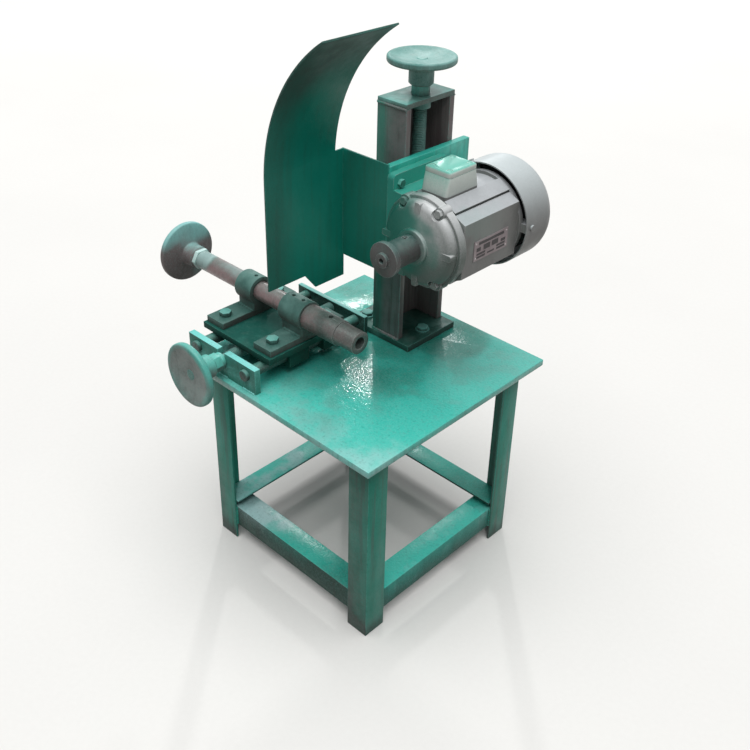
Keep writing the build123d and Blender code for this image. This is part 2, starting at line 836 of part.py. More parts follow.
with BuildPart() as fan_cover_screws:
    with Locations(*[plane.offset(cover_t) for plane in lug_planes]):
        Cylinder(cover_screw_d / 2, cover_screw_l, align=(Align.CENTER, Align.CENTER, Align.MAX))
        Cylinder(cover_screw_head_d / 2, cover_screw_head, align=(Align.CENTER, Align.CENTER, Align.MIN))
fan_cover_screws.part.label = "fan_cover_screws"
export_step(fan_cover_screws.part, "parts/fan_cover_screws.step")

# Stator core and the two ends of its windings
stator_y = (seam_y + housing_y1) / 2
stator_r = rotor_d / 2 + air_gap
with BuildPart() as stator_core:
    with BuildSketch(Plane.XZ.offset(-(stator_y + stator_l / 2))):
        with Locations((motor_x, motor_z)):
            Circle(bore_r)
            Circle(stator_r, mode=Mode.SUBTRACT)
    extrude(amount=stator_l)
stator_core.part.label = "stator_core"
export_step(stator_core.part, "parts/stator_core.step")

with BuildPart() as stator_windings:
    with BuildSketch(Plane.XY.offset(motor_z)):
        with Locations(((winding_r0 + winding_r1) / 2 + motor_x, stator_y)):
            with GridLocations(1, stator_l + winding_l, 1, 2):
                Rectangle(winding_r1 - winding_r0, winding_l)
    revolve(axis=motor_axis)
stator_windings.part.label = "stator_windings"
export_step(stator_windings.part, "parts/stator_windings.step")

# Two ball bearings, drawn as plain rings
with BuildPart() as motor_bearings:
    with BuildSketch(Plane.XZ.offset(-(front_bearing_y + bearing_w))):
        with Locations((motor_x, motor_z)):
            Circle(bearing_od / 2)
            Circle((bearing_id + run_play) / 2, mode=Mode.SUBTRACT)
    extrude(amount=bearing_w)
    with BuildSketch(Plane.XZ.offset(-(housing_y1 + bearing_w))):
        with Locations((motor_x, motor_z)):
            Circle(bearing_od / 2)
            Circle((bearing_id + run_play) / 2, mode=Mode.SUBTRACT)
    extrude(amount=bearing_w)
motor_bearings.part.label = "motor_bearings"
export_step(motor_bearings.part, "parts/motor_bearings.step")

# Stepped shaft: nose for the hub, two bearing seats, rotor seat and fan seat
fan_y = rear_boss_y + fan_gap
with BuildPart() as motor_shaft:
    with BuildSketch(Plane.XY.offset(motor_z)):
        with Locations((motor_x, 0)):
            Polygon(
                (0, boss_y - shaft_l),
                (shaft_d / 2, boss_y - shaft_l),
                (shaft_d / 2, boss_y),
                (bearing_id / 2, boss_y),
                (bearing_id / 2, front_bearing_y + bearing_w + shoulder_play),
                (rotor_shaft_d / 2, front_bearing_y + bearing_w + shoulder_play),
                (rotor_shaft_d / 2, housing_y1 - shoulder_play),
                (bearing_id / 2, housing_y1 - shoulder_play),
                (bearing_id / 2, rear_boss_y),
                (fan_bore_d / 2, rear_boss_y),
                (fan_bore_d / 2, fan_y + fan_w),
                (0, fan_y + fan_w),
                align=None,
            )
    revolve(axis=motor_axis)
motor_shaft.part.label = "motor_shaft"
export_step(motor_shaft.part, "parts/motor_shaft.step")

with BuildPart() as motor_rotor:
    with BuildSketch(Plane.XZ.offset(-(stator_y + rotor_l / 2))):
        with Locations((motor_x, motor_z)):
            Circle(rotor_d / 2)
            Circle(rotor_shaft_d / 2, mode=Mode.SUBTRACT)
    extrude(amount=rotor_l)
motor_rotor.part.label = "motor_rotor"
export_step(motor_rotor.part, "parts/motor_rotor.step")

# Cooling fan: back disc, hub and straight radial blades
with BuildPart() as motor_fan:
    with BuildSketch(Plane.XZ.offset(-(fan_y + fan_t))):
        with Locations((motor_x, motor_z)):
            Circle(fan_d / 2)
    extrude(amount=fan_t)
    with BuildSketch(Plane.XZ.offset(-(fan_y + fan_w))):
        with Locations((motor_x, motor_z)):
            Circle(fan_hub_d / 2)
            with PolarLocations(fan_d / 4, fan_blades):
                Rectangle(fan_d / 2, fan_t)
    extrude(amount=fan_w)
    with BuildSketch(Plane.XZ.offset(-(fan_y + fan_w))):
        with Locations((motor_x, motor_z)):
            Circle(fan_bore_d / 2)
    extrude(amount=fan_w, mode=Mode.SUBTRACT)
motor_fan.part.label = "motor_fan"
export_step(motor_fan.part, "parts/motor_fan.step")

# Terminal box on the housing's pad, with its lid and lid screws
box_z0 = motor_z + box_seat
box_z1 = box_z0 + box_h
lid_screw_x = box_x / 2 - box_wall - box_post / 2
lid_screw_y = box_y / 2 - box_wall - box_post / 2
with BuildPart() as terminal_box:
    with BuildSketch(Plane.XY.offset(box_z0)):
        with Locations((motor_x, box_y_mid)):
            RectangleRounded(box_x, box_y + 2 * box_flare, box_round)
    with BuildSketch(Plane.XY.offset(box_z1)):
        with Locations((motor_x, box_y_mid)):
            RectangleRounded(box_x, box_y, box_round)
    loft()
    with BuildSketch(Plane.XY.offset(box_z0 + box_wall)):
        with Locations((motor_x, box_y_mid)):
            Rectangle(box_x - 2 * box_wall, box_y - 2 * box_wall)
            with GridLocations(2 * lid_screw_x, 2 * lid_screw_y, 2, 2):
                Rectangle(box_post, box_post, mode=Mode.SUBTRACT)
    extrude(amount=box_h - box_wall, mode=Mode.SUBTRACT)
    with Locations((motor_x, box_y_mid, box_z1)):
        with GridLocations(2 * lid_screw_x, 2 * lid_screw_y, 2, 2):
            Hole(box_screw_d / 2, depth=box_screw_l + box_sink - lid_t)
terminal_box.part.label = "terminal_box"
export_step(terminal_box.part, "parts/terminal_box.step")

with BuildPart() as terminal_box_lid:
    with BuildSketch(Plane.XY.offset(box_z1)):
        with Locations((motor_x, box_y_mid)):
            RectangleRounded(box_x, box_y, box_round)
    extrude(amount=lid_t)
    fillet(terminal_box_lid.faces().sort_by(Axis.Z)[-1].edges(), lid_round)
    with Locations((motor_x, box_y_mid, box_z1 + lid_t)):
        with GridLocations(2 * lid_screw_x, 2 * lid_screw_y, 2, 2):
            CounterBoreHole(box_screw_d / 2, box_sink_d / 2, box_sink, depth=lid_t)
terminal_box_lid.part.label = "terminal_box_lid"
export_step(terminal_box_lid.part, "parts/terminal_box_lid.step")

with BuildPart() as terminal_box_screws:
    with Locations((motor_x, box_y_mid, box_z1 + lid_t - box_sink)):
        with GridLocations(2 * lid_screw_x, 2 * lid_screw_y, 2, 2):
            Cylinder(box_screw_d / 2, box_screw_l, align=(Align.CENTER, Align.CENTER, Align.MAX))
            Cylinder(box_screw_head_d / 2, box_screw_head, align=(Align.CENTER, Align.CENTER, Align.MIN))
terminal_box_screws.part.label = "terminal_box_screws"
export_step(terminal_box_screws.part, "parts/terminal_box_screws.step")

# Bare plate on the housing's flat panel
with BuildPart() as name_plate:
    with BuildSketch(Plane.YZ.offset(motor_x + housing_r)):
        with Locations((seam_y + name_in, motor_z - name_drop)):
            Rectangle(name_l, name_h)
    extrude(amount=name_t)
name_plate.part.label = "name_plate"
export_step(name_plate.part, "parts/name_plate.step")

# Tie bolts hold both shields against the housing
tie_l = lug_y - ear_y
with BuildPart() as motor_tie_bolts:
    with BuildSketch(Plane.XZ.offset(-ear_y)):
        with Locations((motor_x, motor_z)):
            with GridLocations(2 * ear_x, 2 * ear_z, 2, 2):
                RegularPolygon(tie_af / 2, 6, major_radius=False)
    extrude(amount=tie_head)
    with BuildSketch(Plane.XZ.offset(-ear_y)):
        with Locations((motor_x, motor_z)):
            with GridLocations(2 * ear_x, 2 * ear_z, 2, 2):
                Circle(tie_d / 2)
    extrude(amount=-tie_l)
motor_tie_bolts.part.label = "motor_tie_bolts"
export_step(motor_tie_bolts.part, "parts/motor_tie_bolts.step")

# Foot bolts, tapped into the motor plate
with BuildPart() as motor_foot_bolts:
    with BuildSketch(Plane.YZ.offset(plate_x1 + foot_t)):
        with Locations((foot_y, motor_z)):
            with GridLocations(foot_span, foot_across, 2, 2):
                RegularPolygon(foot_bolt_af / 2, 6, major_radius=False)
    extrude(amount=foot_bolt_head)
    with BuildSketch(Plane.YZ.offset(plate_x1 + foot_t)):
        with Locations((foot_y, motor_z)):
            with GridLocations(foot_span, foot_across, 2, 2):
                Circle(foot_bolt_d / 2)
    extrude(amount=-(foot_t + plate_t))
motor_foot_bolts.part.label = "motor_foot_bolts"
export_step(motor_foot_bolts.part, "parts/motor_foot_bolts.step")

# Wheel hub on the shaft's nose: sleeve, clamping flange, spigot and threaded end
hub_back_y = boss_y - hub_gap
hub_flange_y = boss_y - hub_reach
hub_screw_y = boss_y - hub_screw_in
with BuildPart() as wheel_hub:
    with BuildSketch(Plane.XY.offset(motor_z)):
        with Locations((motor_x, 0)):
            Polygon(
                (0, boss_y - shaft_l),
                (shaft_d / 2, boss_y - shaft_l),
                (shaft_d / 2, hub_back_y),
                (hub_d / 2, hub_back_y),
                (hub_d / 2, hub_flange_y + hub_flange_t),
                (hub_flange_d / 2, hub_flange_y + hub_flange_t),
                (hub_flange_d / 2, hub_flange_y),
                (spigot_d / 2, hub_flange_y),
                (spigot_d / 2, hub_flange_y - spigot_l),
                (hub_thread_d / 2, hub_flange_y - spigot_l),
                (hub_thread_d / 2, hub_flange_y - spigot_l + hub_thread_l),
                (0, hub_flange_y - spigot_l + hub_thread_l),
                align=None,
            )
    revolve(axis=motor_axis)
    with Locations((motor_x, hub_screw_y, motor_z + hub_d / 2)):
        Hole(hub_screw_d / 2, depth=(hub_d - shaft_d) / 2)
wheel_hub.part.label = "wheel_hub"
export_step(wheel_hub.part, "parts/wheel_hub.step")

with BuildPart() as hub_set_screw:
    with BuildSketch(Plane.XY.offset(motor_z + shaft_d / 2)):
        with Locations((motor_x, hub_screw_y)):
            Circle(hub_screw_d / 2)
    extrude(amount=hub_screw_l)
    with BuildSketch(Plane.XY.offset(motor_z + shaft_d / 2 + hub_screw_l)):
        with Locations((motor_x, hub_screw_y)):
            RegularPolygon(hub_screw_d / 4, 6, major_radius=False)
    extrude(amount=-hub_screw_d / 2, mode=Mode.SUBTRACT)
hub_set_screw.part.label = "hub_set_screw"
export_step(hub_set_screw.part, "parts/hub_set_screw.step")

# Spark guard: one bent sheet, its upper end rolled forward over the wheel
guard_x = column_x - guard_behind
guard_y0 = plate_y0 - guard_l
guard_slant_y1 = plate_y0 - guard_step_l
guard_slant_y0 = guard_slant_y1 - guard_slant_l
guard_low_z = motor_z - guard_low
guard_high_z = motor_z - guard_high
guard_bend_z = motor_z + guard_bend_h
guard_neck_z = motor_z + guard_neck_h
guard_web_z = motor_z - guard_web_low
guard_centre = (guard_x + guard_bend_r, guard_bend_z)
guard_end = 180 - guard_bend_angle
guard_inner_r = guard_bend_r - guard_t
with BuildPart() as spark_guard:
    with BuildSketch(Plane.XZ.offset(-plate_y0)):
        with BuildLine():
            guard_back = Line((guard_x, guard_low_z), (guard_x, guard_bend_z))
            guard_outer = CenterArc(guard_centre, guard_bend_r, 180, -guard_bend_angle)
            guard_inner = CenterArc(guard_centre, guard_inner_r, guard_end, guard_bend_angle)
            Line(guard_outer @ 1, guard_inner @ 0)
            Polyline(guard_inner @ 1, (guard_x + guard_t, guard_low_z), (guard_x, guard_low_z))
        make_face()
    extrude(amount=plate_y0 - guard_y0)
    with BuildSketch(Plane.YZ.offset(guard_x)):
        Polygon(
            (guard_y0, guard_high_z),
            (guard_slant_y0, guard_high_z),
            (guard_slant_y1, guard_low_z),
            (plate_y0, guard_low_z),
            (plate_y0, guard_neck_z),
            (plate_y0 - guard_neck_l, guard_neck_z),
            (plate_y0 - guard_neck_l, guard_bend_z + guard_bend_r),
            (guard_y0, guard_bend_z + guard_bend_r),
            align=None,
        )
    extrude(amount=guard_bend_r, mode=Mode.INTERSECT)
    with BuildSketch(Plane.XZ.offset(-plate_y0)):
        with Locations((guard_x, guard_web_z)):
            Rectangle(plate_x1 - guard_x, guard_neck_z - guard_web_z, align=Align.MIN)
    extrude(amount=guard_t)
spark_guard.part.label = "spark_guard"
export_step(spark_guard.part, "parts/spark_guard.step")

# Cross slide: two end plates on the table carry the guide rods and the feed screw
with BuildPart() as slide_front_plate:
    with BuildSketch(Plane.XZ.offset(-(front_plate_y + front_plate_t))):
        with Locations((slide_x, table_z)):
            Rectangle(end_plate_w, front_plate_h, align=(Align.CENTER, Align.MIN))
        with Locations((slide_x, rod_z)):
            with GridLocations(rod_span, 1, 2, 1):
                Circle(rod_d / 2, mode=Mode.SUBTRACT)
        with Locations((slide_x, rod_z)):
            Circle((journal_d + run_play) / 2, mode=Mode.SUBTRACT)
            Rectangle(
                journal_d + run_play,
                table_z + front_plate_h - rod_z,
                align=(Align.CENTER, Align.MIN),
                mode=Mode.SUBTRACT,
            )
    extrude(amount=front_plate_t)
slide_front_plate.part.label = "slide_front_plate"
export_step(slide_front_plate.part, "parts/slide_front_plate.step")

with BuildPart() as slide_rear_plate:
    with BuildSketch(Plane.XZ.offset(-(rear_plate_y + rear_plate_t))):
        with Locations((slide_x, table_z)):
            Rectangle(end_plate_w, rear_plate_h, align=(Align.CENTER, Align.MIN))
        with Locations((slide_x, rod_z)):
            with GridLocations(rod_span, 1, 2, 1):
                Circle(rod_d / 2, mode=Mode.SUBTRACT)
        with Locations((slide_x, rod_z)):
            Circle((feed_tail_d + run_play) / 2, mode=Mode.SUBTRACT)
    extrude(amount=rear_plate_t)
slide_rear_plate.part.label = "slide_rear_plate"
export_step(slide_rear_plate.part, "parts/slide_rear_plate.step")

rod_y0 = front_plate_y - rod_out
rod_y1 = rear_plate_y + rear_plate_t
with BuildPart() as guide_rod_left:
    with BuildSketch(Plane.XZ.offset(-rod_y1)):
        with Locations((rod_left_x, rod_z)):
            Circle(rod_d / 2)
    extrude(amount=rod_y1 - rod_y0)
    chamfer(guide_rod_left.faces().sort_by(Axis.Y)[0].edges(), rod_chamfer)
guide_rod_left.part.label = "guide_rod_left"
export_step(guide_rod_left.part, "parts/guide_rod_left.step")

with BuildPart() as guide_rod_right:
    with BuildSketch(Plane.XZ.offset(-rod_y1)):
        with Locations((rod_right_x, rod_z)):
            Circle(rod_d / 2)
    extrude(amount=rod_y1 - rod_y0)
    chamfer(guide_rod_right.faces().sort_by(Axis.Y)[0].edges(), rod_chamfer)
guide_rod_right.part.label = "guide_rod_right"
export_step(guide_rod_right.part, "parts/guide_rod_right.step")

# Feed screw: its journal lies in the front plate's slot, held by a shoulder and a collar
feed_shoulder_y = front_plate_y + front_plate_t + shoulder_play
feed_collar_y = front_plate_y - shoulder_play
feed_lock_y = feed_collar_y - feed_collar_l
feed_knob_y = feed_lock_y - feed_lock_h
feed_tail_y = rear_plate_y - shoulder_play
with BuildPart() as feed_screw:
    with BuildSketch(Plane.XY.offset(rod_z)):
        with Locations((slide_x, 0)):
            Polygon(
                (0, feed_knob_y - knob_h + knob_dish - knob_tip),
                (journal_d / 2, feed_knob_y - knob_h + knob_dish - knob_tip),
                (journal_d / 2, feed_shoulder_y),
                (feed_d / 2, feed_shoulder_y),
                (feed_d / 2, feed_tail_y),
                (feed_tail_d / 2, feed_tail_y),
                (feed_tail_d / 2, rod_y1),
                (0, rod_y1),
                align=None,
            )
    revolve(axis=feed_axis)
feed_screw.part.label = "feed_screw"
export_step(feed_screw.part, "parts/feed_screw.step")

with BuildPart() as feed_collar:
    with BuildSketch(Plane.XZ.offset(-feed_collar_y)):
        with Locations((slide_x, rod_z)):
            Circle(feed_collar_d / 2)
            Circle(journal_d / 2, mode=Mode.SUBTRACT)
    extrude(amount=feed_collar_l)
feed_collar.part.label = "feed_collar"
export_step(feed_collar.part, "parts/feed_collar.step")

with BuildPart() as feed_lock_nut:
    with BuildSketch(Plane.XZ.offset(-feed_lock_y)):
        with Locations((slide_x, rod_z)):
            RegularPolygon(feed_lock_af / 2, 6, major_radius=False)
            Circle(journal_d / 2, mode=Mode.SUBTRACT)
    extrude(amount=feed_lock_h)
feed_lock_nut.part.label = "feed_lock_nut"
export_step(feed_lock_nut.part, "parts/feed_lock_nut.step")

with BuildPart() as feed_knob:
    with BuildSketch(Plane((slide_x, feed_knob_y, rod_z), x_dir=(1, 0, 0), z_dir=(0, 0, -1))):
        add(knob_half.sketch)
    revolve(axis=feed_axis)
feed_knob.part.label = "feed_knob"
export_step(feed_knob.part, "parts/feed_knob.step")

# Saddle: plate with four bushes on the guide rods and the feed nut beneath
with BuildPart() as saddle_plate:
    with BuildSketch(Plane.XY.offset(saddle_z)):
        with Locations((slide_x, saddle_y)):
            Rectangle(saddle_w, saddle_l)
            with GridLocations(pillow_span, pillow_bolt_span, 2, 2):
                Circle(bolt_d / 2, mode=Mode.SUBTRACT)
    extrude(amount=saddle_t)
saddle_plate.part.label = "saddle_plate"
export_step(saddle_plate.part, "parts/saddle_plate.step")

bush_front_y = saddle_y0 + bush_inset + bush_l / 2
bush_rear_y = saddle_y1 - bush_back - bush_l / 2
with BuildPart() as saddle_bushes:
    with BuildSketch(Plane.XY.offset(saddle_z)):
        with Locations((slide_x, bush_front_y), (slide_x, bush_rear_y)):
            with GridLocations(rod_span, 1, 2, 1):
                Rectangle(bush_w, bush_l)
    extrude(amount=-bush_h)
    with BuildSketch(Plane.XZ.offset(-saddle_y1)):
        with Locations((slide_x, rod_z)):
            with GridLocations(rod_span, 1, 2, 1):
                Circle((rod_d + run_play) / 2)
    extrude(amount=saddle_l, mode=Mode.SUBTRACT)
saddle_bushes.part.label = "saddle_bushes"
export_step(saddle_bushes.part, "parts/saddle_bushes.step")

with BuildPart() as feed_nut:
    with BuildSketch(Plane.XZ.offset(-(saddle_y0 + bush_inset + feed_nut_l))):
        with Locations((slide_x, saddle_z)):
            Rectangle(feed_nut_w, feed_nut_h, align=(Align.CENTER, Align.MAX))
        with Locations((slide_x, rod_z)):
            Circle((feed_d + run_play) / 2, mode=Mode.SUBTRACT)
    extrude(amount=feed_nut_l)
feed_nut.part.label = "feed_nut"
export_step(feed_nut.part, "parts/feed_nut.step")

# Pillows: a bolted strip with a bored collar welded on, oil holes on top
with BuildPart() as pillow_left:
    with BuildSketch(Plane.XY.offset(strip_z)):
        with Locations((pillow_left_x, saddle_y)):
            Rectangle(strip_w, strip_l)
            with GridLocations(1, pillow_bolt_span, 1, 2):
                Circle((bolt_d + hole_play) / 2, mode=Mode.SUBTRACT)
    extrude(amount=strip_t)
    with BuildSketch(Plane.YZ.offset(collar_left_x1 - collar_left_l)):
        with Locations((saddle_y, bar_z)):
            Circle(collar_d / 2)
            Rectangle(collar_neck, bar_z - strip_top, align=(Align.CENTER, Align.MAX))
    extrude(amount=collar_left_l)
    with BuildSketch(Plane.YZ.offset(collar_left_x1 - collar_left_l)):
        with Locations((saddle_y, bar_z)):
            Circle((bar_d + run_play) / 2)
    extrude(amount=collar_left_l, mode=Mode.SUBTRACT)
    with Locations((collar_left_x1 - oil_left_in, saddle_y, bar_z + collar_d / 2)):
        Hole(oil_d / 2, depth=collar_d / 2)
pillow_left.part.label = "pillow_left"
export_step(pillow_left.part, "parts/pillow_left.step")

with BuildPart() as pillow_right:
    with BuildSketch(Plane.XY.offset(strip_z)):
        with Locations((pillow_right_x, saddle_y)):
            Rectangle(strip_w, strip_l)
            with GridLocations(1, pillow_bolt_span, 1, 2):
                Circle((bolt_d + hole_play) / 2, mode=Mode.SUBTRACT)
    extrude(amount=strip_t)
    with BuildSketch(Plane.YZ.offset(pillow_right_x - collar_l / 2)):
        with Locations((saddle_y, bar_z)):
            Circle(collar_d / 2)
            Rectangle(collar_neck, bar_z - strip_top, align=(Align.CENTER, Align.MAX))
    extrude(amount=collar_l)
    with BuildSketch(Plane.YZ.offset(pillow_right_x - collar_l / 2)):
        with Locations((saddle_y, bar_z)):
            Circle((bar_d + run_play) / 2)
    extrude(amount=collar_l, mode=Mode.SUBTRACT)
    with Locations((pillow_right_x, saddle_y, bar_z + collar_d / 2)):
        with GridLocations(oil_span, 1, 2, 1):
            Hole(oil_d / 2, depth=collar_d / 2)
pillow_right.part.label = "pillow_right"
export_step(pillow_right.part, "parts/pillow_right.step")

with BuildPart() as pillow_bolts:
    with BuildSketch(Plane.XY.offset(strip_top)):
        with Locations((slide_x, saddle_y)):
            with GridLocations(pillow_span, pillow_bolt_span, 2, 2):
                RegularPolygon(bolt_af / 2, 6, major_radius=False)
    extrude(amount=bolt_head_h)
    with BuildSketch(Plane.XY.offset(strip_top)):
        with Locations((slide_x, saddle_y)):
            with GridLocations(pillow_span, pillow_bolt_span, 2, 2):
                Circle(bolt_d / 2)
    extrude(amount=-(strip_t + saddle_t))
pillow_bolts.part.label = "pillow_bolts"
export_step(pillow_bolts.part, "parts/pillow_bolts.step")

# Work bar: a sleeve that slides in the collars, with a spindle that turns inside it
bar_nut_x = bar_x0 - shoulder_play
bar_knob_x = bar_nut_x - bar_nut_h
with BuildPart() as work_sleeve:
    with BuildSketch(Plane.YZ.offset(bar_x0)):
        with Locations((saddle_y, bar_z)):
            Circle(bar_d / 2)
            Circle((spindle_d + run_play) / 2, mode=Mode.SUBTRACT)
    extrude(amount=sleeve_l)
work_sleeve.part.label = "work_sleeve"
export_step(work_sleeve.part, "parts/work_sleeve.step")

spindle_x0 = bar_knob_x - knob_h + knob_dish - knob_tip
with BuildPart() as work_spindle:
    with BuildSketch(Plane.YZ.offset(spindle_x0)):
        with Locations((saddle_y, bar_z)):
            Circle(spindle_d / 2)
    extrude(amount=socket_x0 + spindle_seat - spindle_x0)
    chamfer(work_spindle.faces().sort_by(Axis.X)[0].edges(), rod_chamfer)
work_spindle.part.label = "work_spindle"
export_step(work_spindle.part, "parts/work_spindle.step")

with BuildPart() as tool_socket:
    with BuildSketch(Plane.XZ.offset(-saddle_y)):
        with Locations((0, bar_z)):
            Polygon(
                (socket_x0, spindle_d / 2),
                (socket_x0, socket_d / 2),
                (socket_step_x, socket_d / 2),
                (socket_step_x, socket_nose_d / 2),
                (socket_x1, socket_nose_d / 2),
                (socket_x1, socket_bore_d / 2),
                (socket_x1 - socket_depth, socket_bore_d / 2),
                (socket_x1 - socket_depth, 0),
                (socket_x0 + spindle_seat, 0),
                (socket_x0 + spindle_seat, spindle_d / 2),
                align=None,
            )
    revolve(axis=bar_axis)
    with Locations((socket_x0 + socket_screw_in, saddle_y, bar_z + socket_d / 2)):
        Hole(socket_screw_d / 2, depth=socket_d / 2)
tool_socket.part.label = "tool_socket"
export_step(tool_socket.part, "parts/tool_socket.step")

with BuildPart() as bar_lock_nut:
    with BuildSketch(Plane.YZ.offset(bar_knob_x)):
        with Locations((saddle_y, bar_z)):
            RegularPolygon(bar_nut_af / 2, 6, major_radius=False)
            Circle(spindle_d / 2, mode=Mode.SUBTRACT)
    extrude(amount=bar_nut_h)
bar_lock_nut.part.label = "bar_lock_nut"
export_step(bar_lock_nut.part, "parts/bar_lock_nut.step")

with BuildPart() as bar_knob:
    with BuildSketch(Plane((bar_knob_x, saddle_y, bar_z), x_dir=(0, 0, 1), z_dir=(0, -1, 0))):
        add(knob_half.sketch)
    revolve(axis=bar_axis)
bar_knob.part.label = "bar_knob"
export_step(bar_knob.part, "parts/bar_knob.step")
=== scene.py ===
# %% [markdown]
# # A shop-made knife grinding machine
# The machine is an angle-iron stand with a table plate, a channel-iron column that carries a small
# motor, and a cross slide with a work bar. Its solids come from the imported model, which is the fixed
# frame of this scene. Here they get their paint, their wear and the small things that a shop adds.
# Everything is in metres, and every object stays at the origin with its place in its mesh.

# %% Load the frame
import math
import random
import bmesh
import bpy
from mathutils import Matrix, Vector


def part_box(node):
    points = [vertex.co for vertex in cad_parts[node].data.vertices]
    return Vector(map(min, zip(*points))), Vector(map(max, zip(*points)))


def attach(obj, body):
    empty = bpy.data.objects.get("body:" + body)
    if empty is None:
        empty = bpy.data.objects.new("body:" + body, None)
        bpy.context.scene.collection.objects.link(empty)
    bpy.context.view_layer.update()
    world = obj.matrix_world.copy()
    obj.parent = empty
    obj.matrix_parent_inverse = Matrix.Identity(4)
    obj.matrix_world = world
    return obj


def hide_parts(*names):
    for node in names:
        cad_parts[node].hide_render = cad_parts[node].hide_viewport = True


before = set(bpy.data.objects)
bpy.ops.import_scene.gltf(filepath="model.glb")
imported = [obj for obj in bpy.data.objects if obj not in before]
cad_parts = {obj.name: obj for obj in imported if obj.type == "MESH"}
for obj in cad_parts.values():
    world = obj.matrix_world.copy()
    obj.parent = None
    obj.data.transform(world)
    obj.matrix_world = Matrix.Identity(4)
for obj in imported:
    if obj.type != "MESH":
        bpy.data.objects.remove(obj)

scene = bpy.context.scene
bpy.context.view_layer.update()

# %% [markdown]
# ## The camera
# The picture looks down on the near corner of the table. The square table and the upright column give
# three vanishing points, and from those the camera's place, turn and lens were worked out. It could
# be set by eye as well, but a solved camera is exact.

# %% Camera
PICTURE = 750.0
FOCAL = 991.92
CENTRE = (375.5, 323.0)
AZIMUTH, ELEVATION, ROLL = -43.2, 30.88, 1.36
EYE = (0.6854, -0.7148, 0.9076)
azimuth, elevation, roll = (math.radians(angle) for angle in (AZIMUTH, ELEVATION, ROLL))
forward = Vector((
    math.sin(azimuth) * math.cos(elevation),
    math.cos(azimuth) * math.cos(elevation),
    -math.sin(elevation),
))
level = Vector((math.cos(azimuth), -math.sin(azimuth), 0))
lift = level.cross(forward)
right = level * math.cos(roll) + lift * math.sin(roll)
up = lift * math.cos(roll) - level * math.sin(roll)
lens = bpy.data.cameras.new("camera")
lens.sensor_width = 36
lens.lens = FOCAL / PICTURE * lens.sensor_width
lens.shift_x = (PICTURE / 2 - CENTRE[0]) / PICTURE
lens.shift_y = (CENTRE[1] - PICTURE / 2) / PICTURE
camera = bpy.data.objects.new("camera", lens)
turn = Matrix((right, up, -forward)).transposed().to_4x4()
camera.matrix_world = Matrix.Translation(EYE) @ turn
scene.collection.objects.link(camera)
scene.camera = camera
scene.view_settings.view_transform = "Standard"
print("lens:", round(lens.lens, 2), "mm")

# %% [markdown]
# ## Colours and nodes
# A shader takes linear colour, while an eye reads screen values, so `tone` turns the second into the
# first. `put` adds a node and sets or links its inputs. The others build on it and hand back an output:
# sums, slopes from one value to another, mixes, noises. They keep the materials below short.

# %% Small helpers for nodes
def tone(red, green, blue):
    def linear(value):
        value /= 255
        return value / 12.92 if value <= 0.04045 else ((value + 0.055) / 1.055) ** 2.4
    return (linear(red), linear(green), linear(blue), 1.0)


def put(tree, kind, inputs=None, **settings):
    node = tree.nodes.new(kind)
    for key, value in settings.items():
        setattr(node, key, value)
    for key, value in (inputs or {}).items():
        if isinstance(value, bpy.types.NodeSocket):
            tree.links.new(value, node.inputs[key])
        else:
            node.inputs[key].default_value = value
    return node


def calc(tree, operation, first, second=0.0, clamp=False):
    node = put(tree, "ShaderNodeMath", {0: first, 1: second}, operation=operation, use_clamp=clamp)
    return node.outputs[0]


def vector_calc(tree, operation, first, second=(0.0, 0.0, 0.0)):
    node = put(tree, "ShaderNodeVectorMath", {0: first, 1: second}, operation=operation)
    return node.outputs["Value" if operation in ("DOT_PRODUCT", "LENGTH") else "Vector"]


def swing(tree, value, strength):
    return calc(tree, "MULTIPLY", calc(tree, "SUBTRACT", value, 0.5), strength)


def slope(tree, value, low, high, start=0.0, end=1.0):
    inputs = {"Value": value, "From Min": low, "From Max": high, "To Min": start, "To Max": end}
    return put(tree, "ShaderNodeMapRange", inputs, interpolation_type="SMOOTHSTEP").outputs["Result"]


def mix(tree, amount, first, second):
    node = put(tree, "ShaderNodeMix", {0: amount, 6: first, 7: second}, data_type="RGBA")
    return node.outputs[2]


def stretch(tree, place, scale):
    return put(tree, "ShaderNodeMapping", {"Vector": place, "Scale": scale}).outputs[0]


def noise(tree, place, scale, detail=3.0, roughness=0.55):
    inputs = {"Vector": place, "Scale": scale, "Detail": detail, "Roughness": roughness}
    return put(tree, "ShaderNodeTexNoise", inputs).outputs[0]


print("node helpers ready")

# %% [markdown]
# ## The floor
# The machine stands on a plain pale floor with a faint mottle. Such a floor would throw much light
# back, so it has two shaders: a pale one for the rays that look at it, and a duller one for the rays
# that only carry light. The paint keeps its depth that way.

# %% Floor
def seen_directly(tree):
    ray = put(tree, "ShaderNodeLightPath").outputs
    seen = calc(tree, "MAXIMUM", ray["Is Camera Ray"], ray["Is Transmission Ray"])
    return calc(tree, "MAXIMUM", seen, ray["Is Glossy Ray"])


def floor_material():
    material = bpy.data.materials.new("pale_floor")
    material.use_nodes = True
    tree = material.node_tree
    tree.nodes.clear()
    place = put(tree, "ShaderNodeTexCoord").outputs["Object"]
    cloud = noise(tree, place, 1.3, 4.0)
    speck = noise(tree, place, 160.0, 2.0)
    patch = calc(tree, "ADD", calc(tree, "MULTIPLY", cloud, 0.7), calc(tree, "MULTIPLY", speck, 0.3))
    shown = mix(tree, patch, tone(222, 221, 218), tone(236, 235, 232))
    pale = put(tree, "ShaderNodeBsdfDiffuse", {"Color": shown}).outputs[0]
    dull = put(tree, "ShaderNodeBsdfDiffuse", {"Color": tone(132, 124, 120)}).outputs[0]
    surface = put(tree, "ShaderNodeMixShader", {0: seen_directly(tree), 1: dull, 2: pale}).outputs[0]
    put(tree, "ShaderNodeOutputMaterial", {"Surface": surface})
    return material


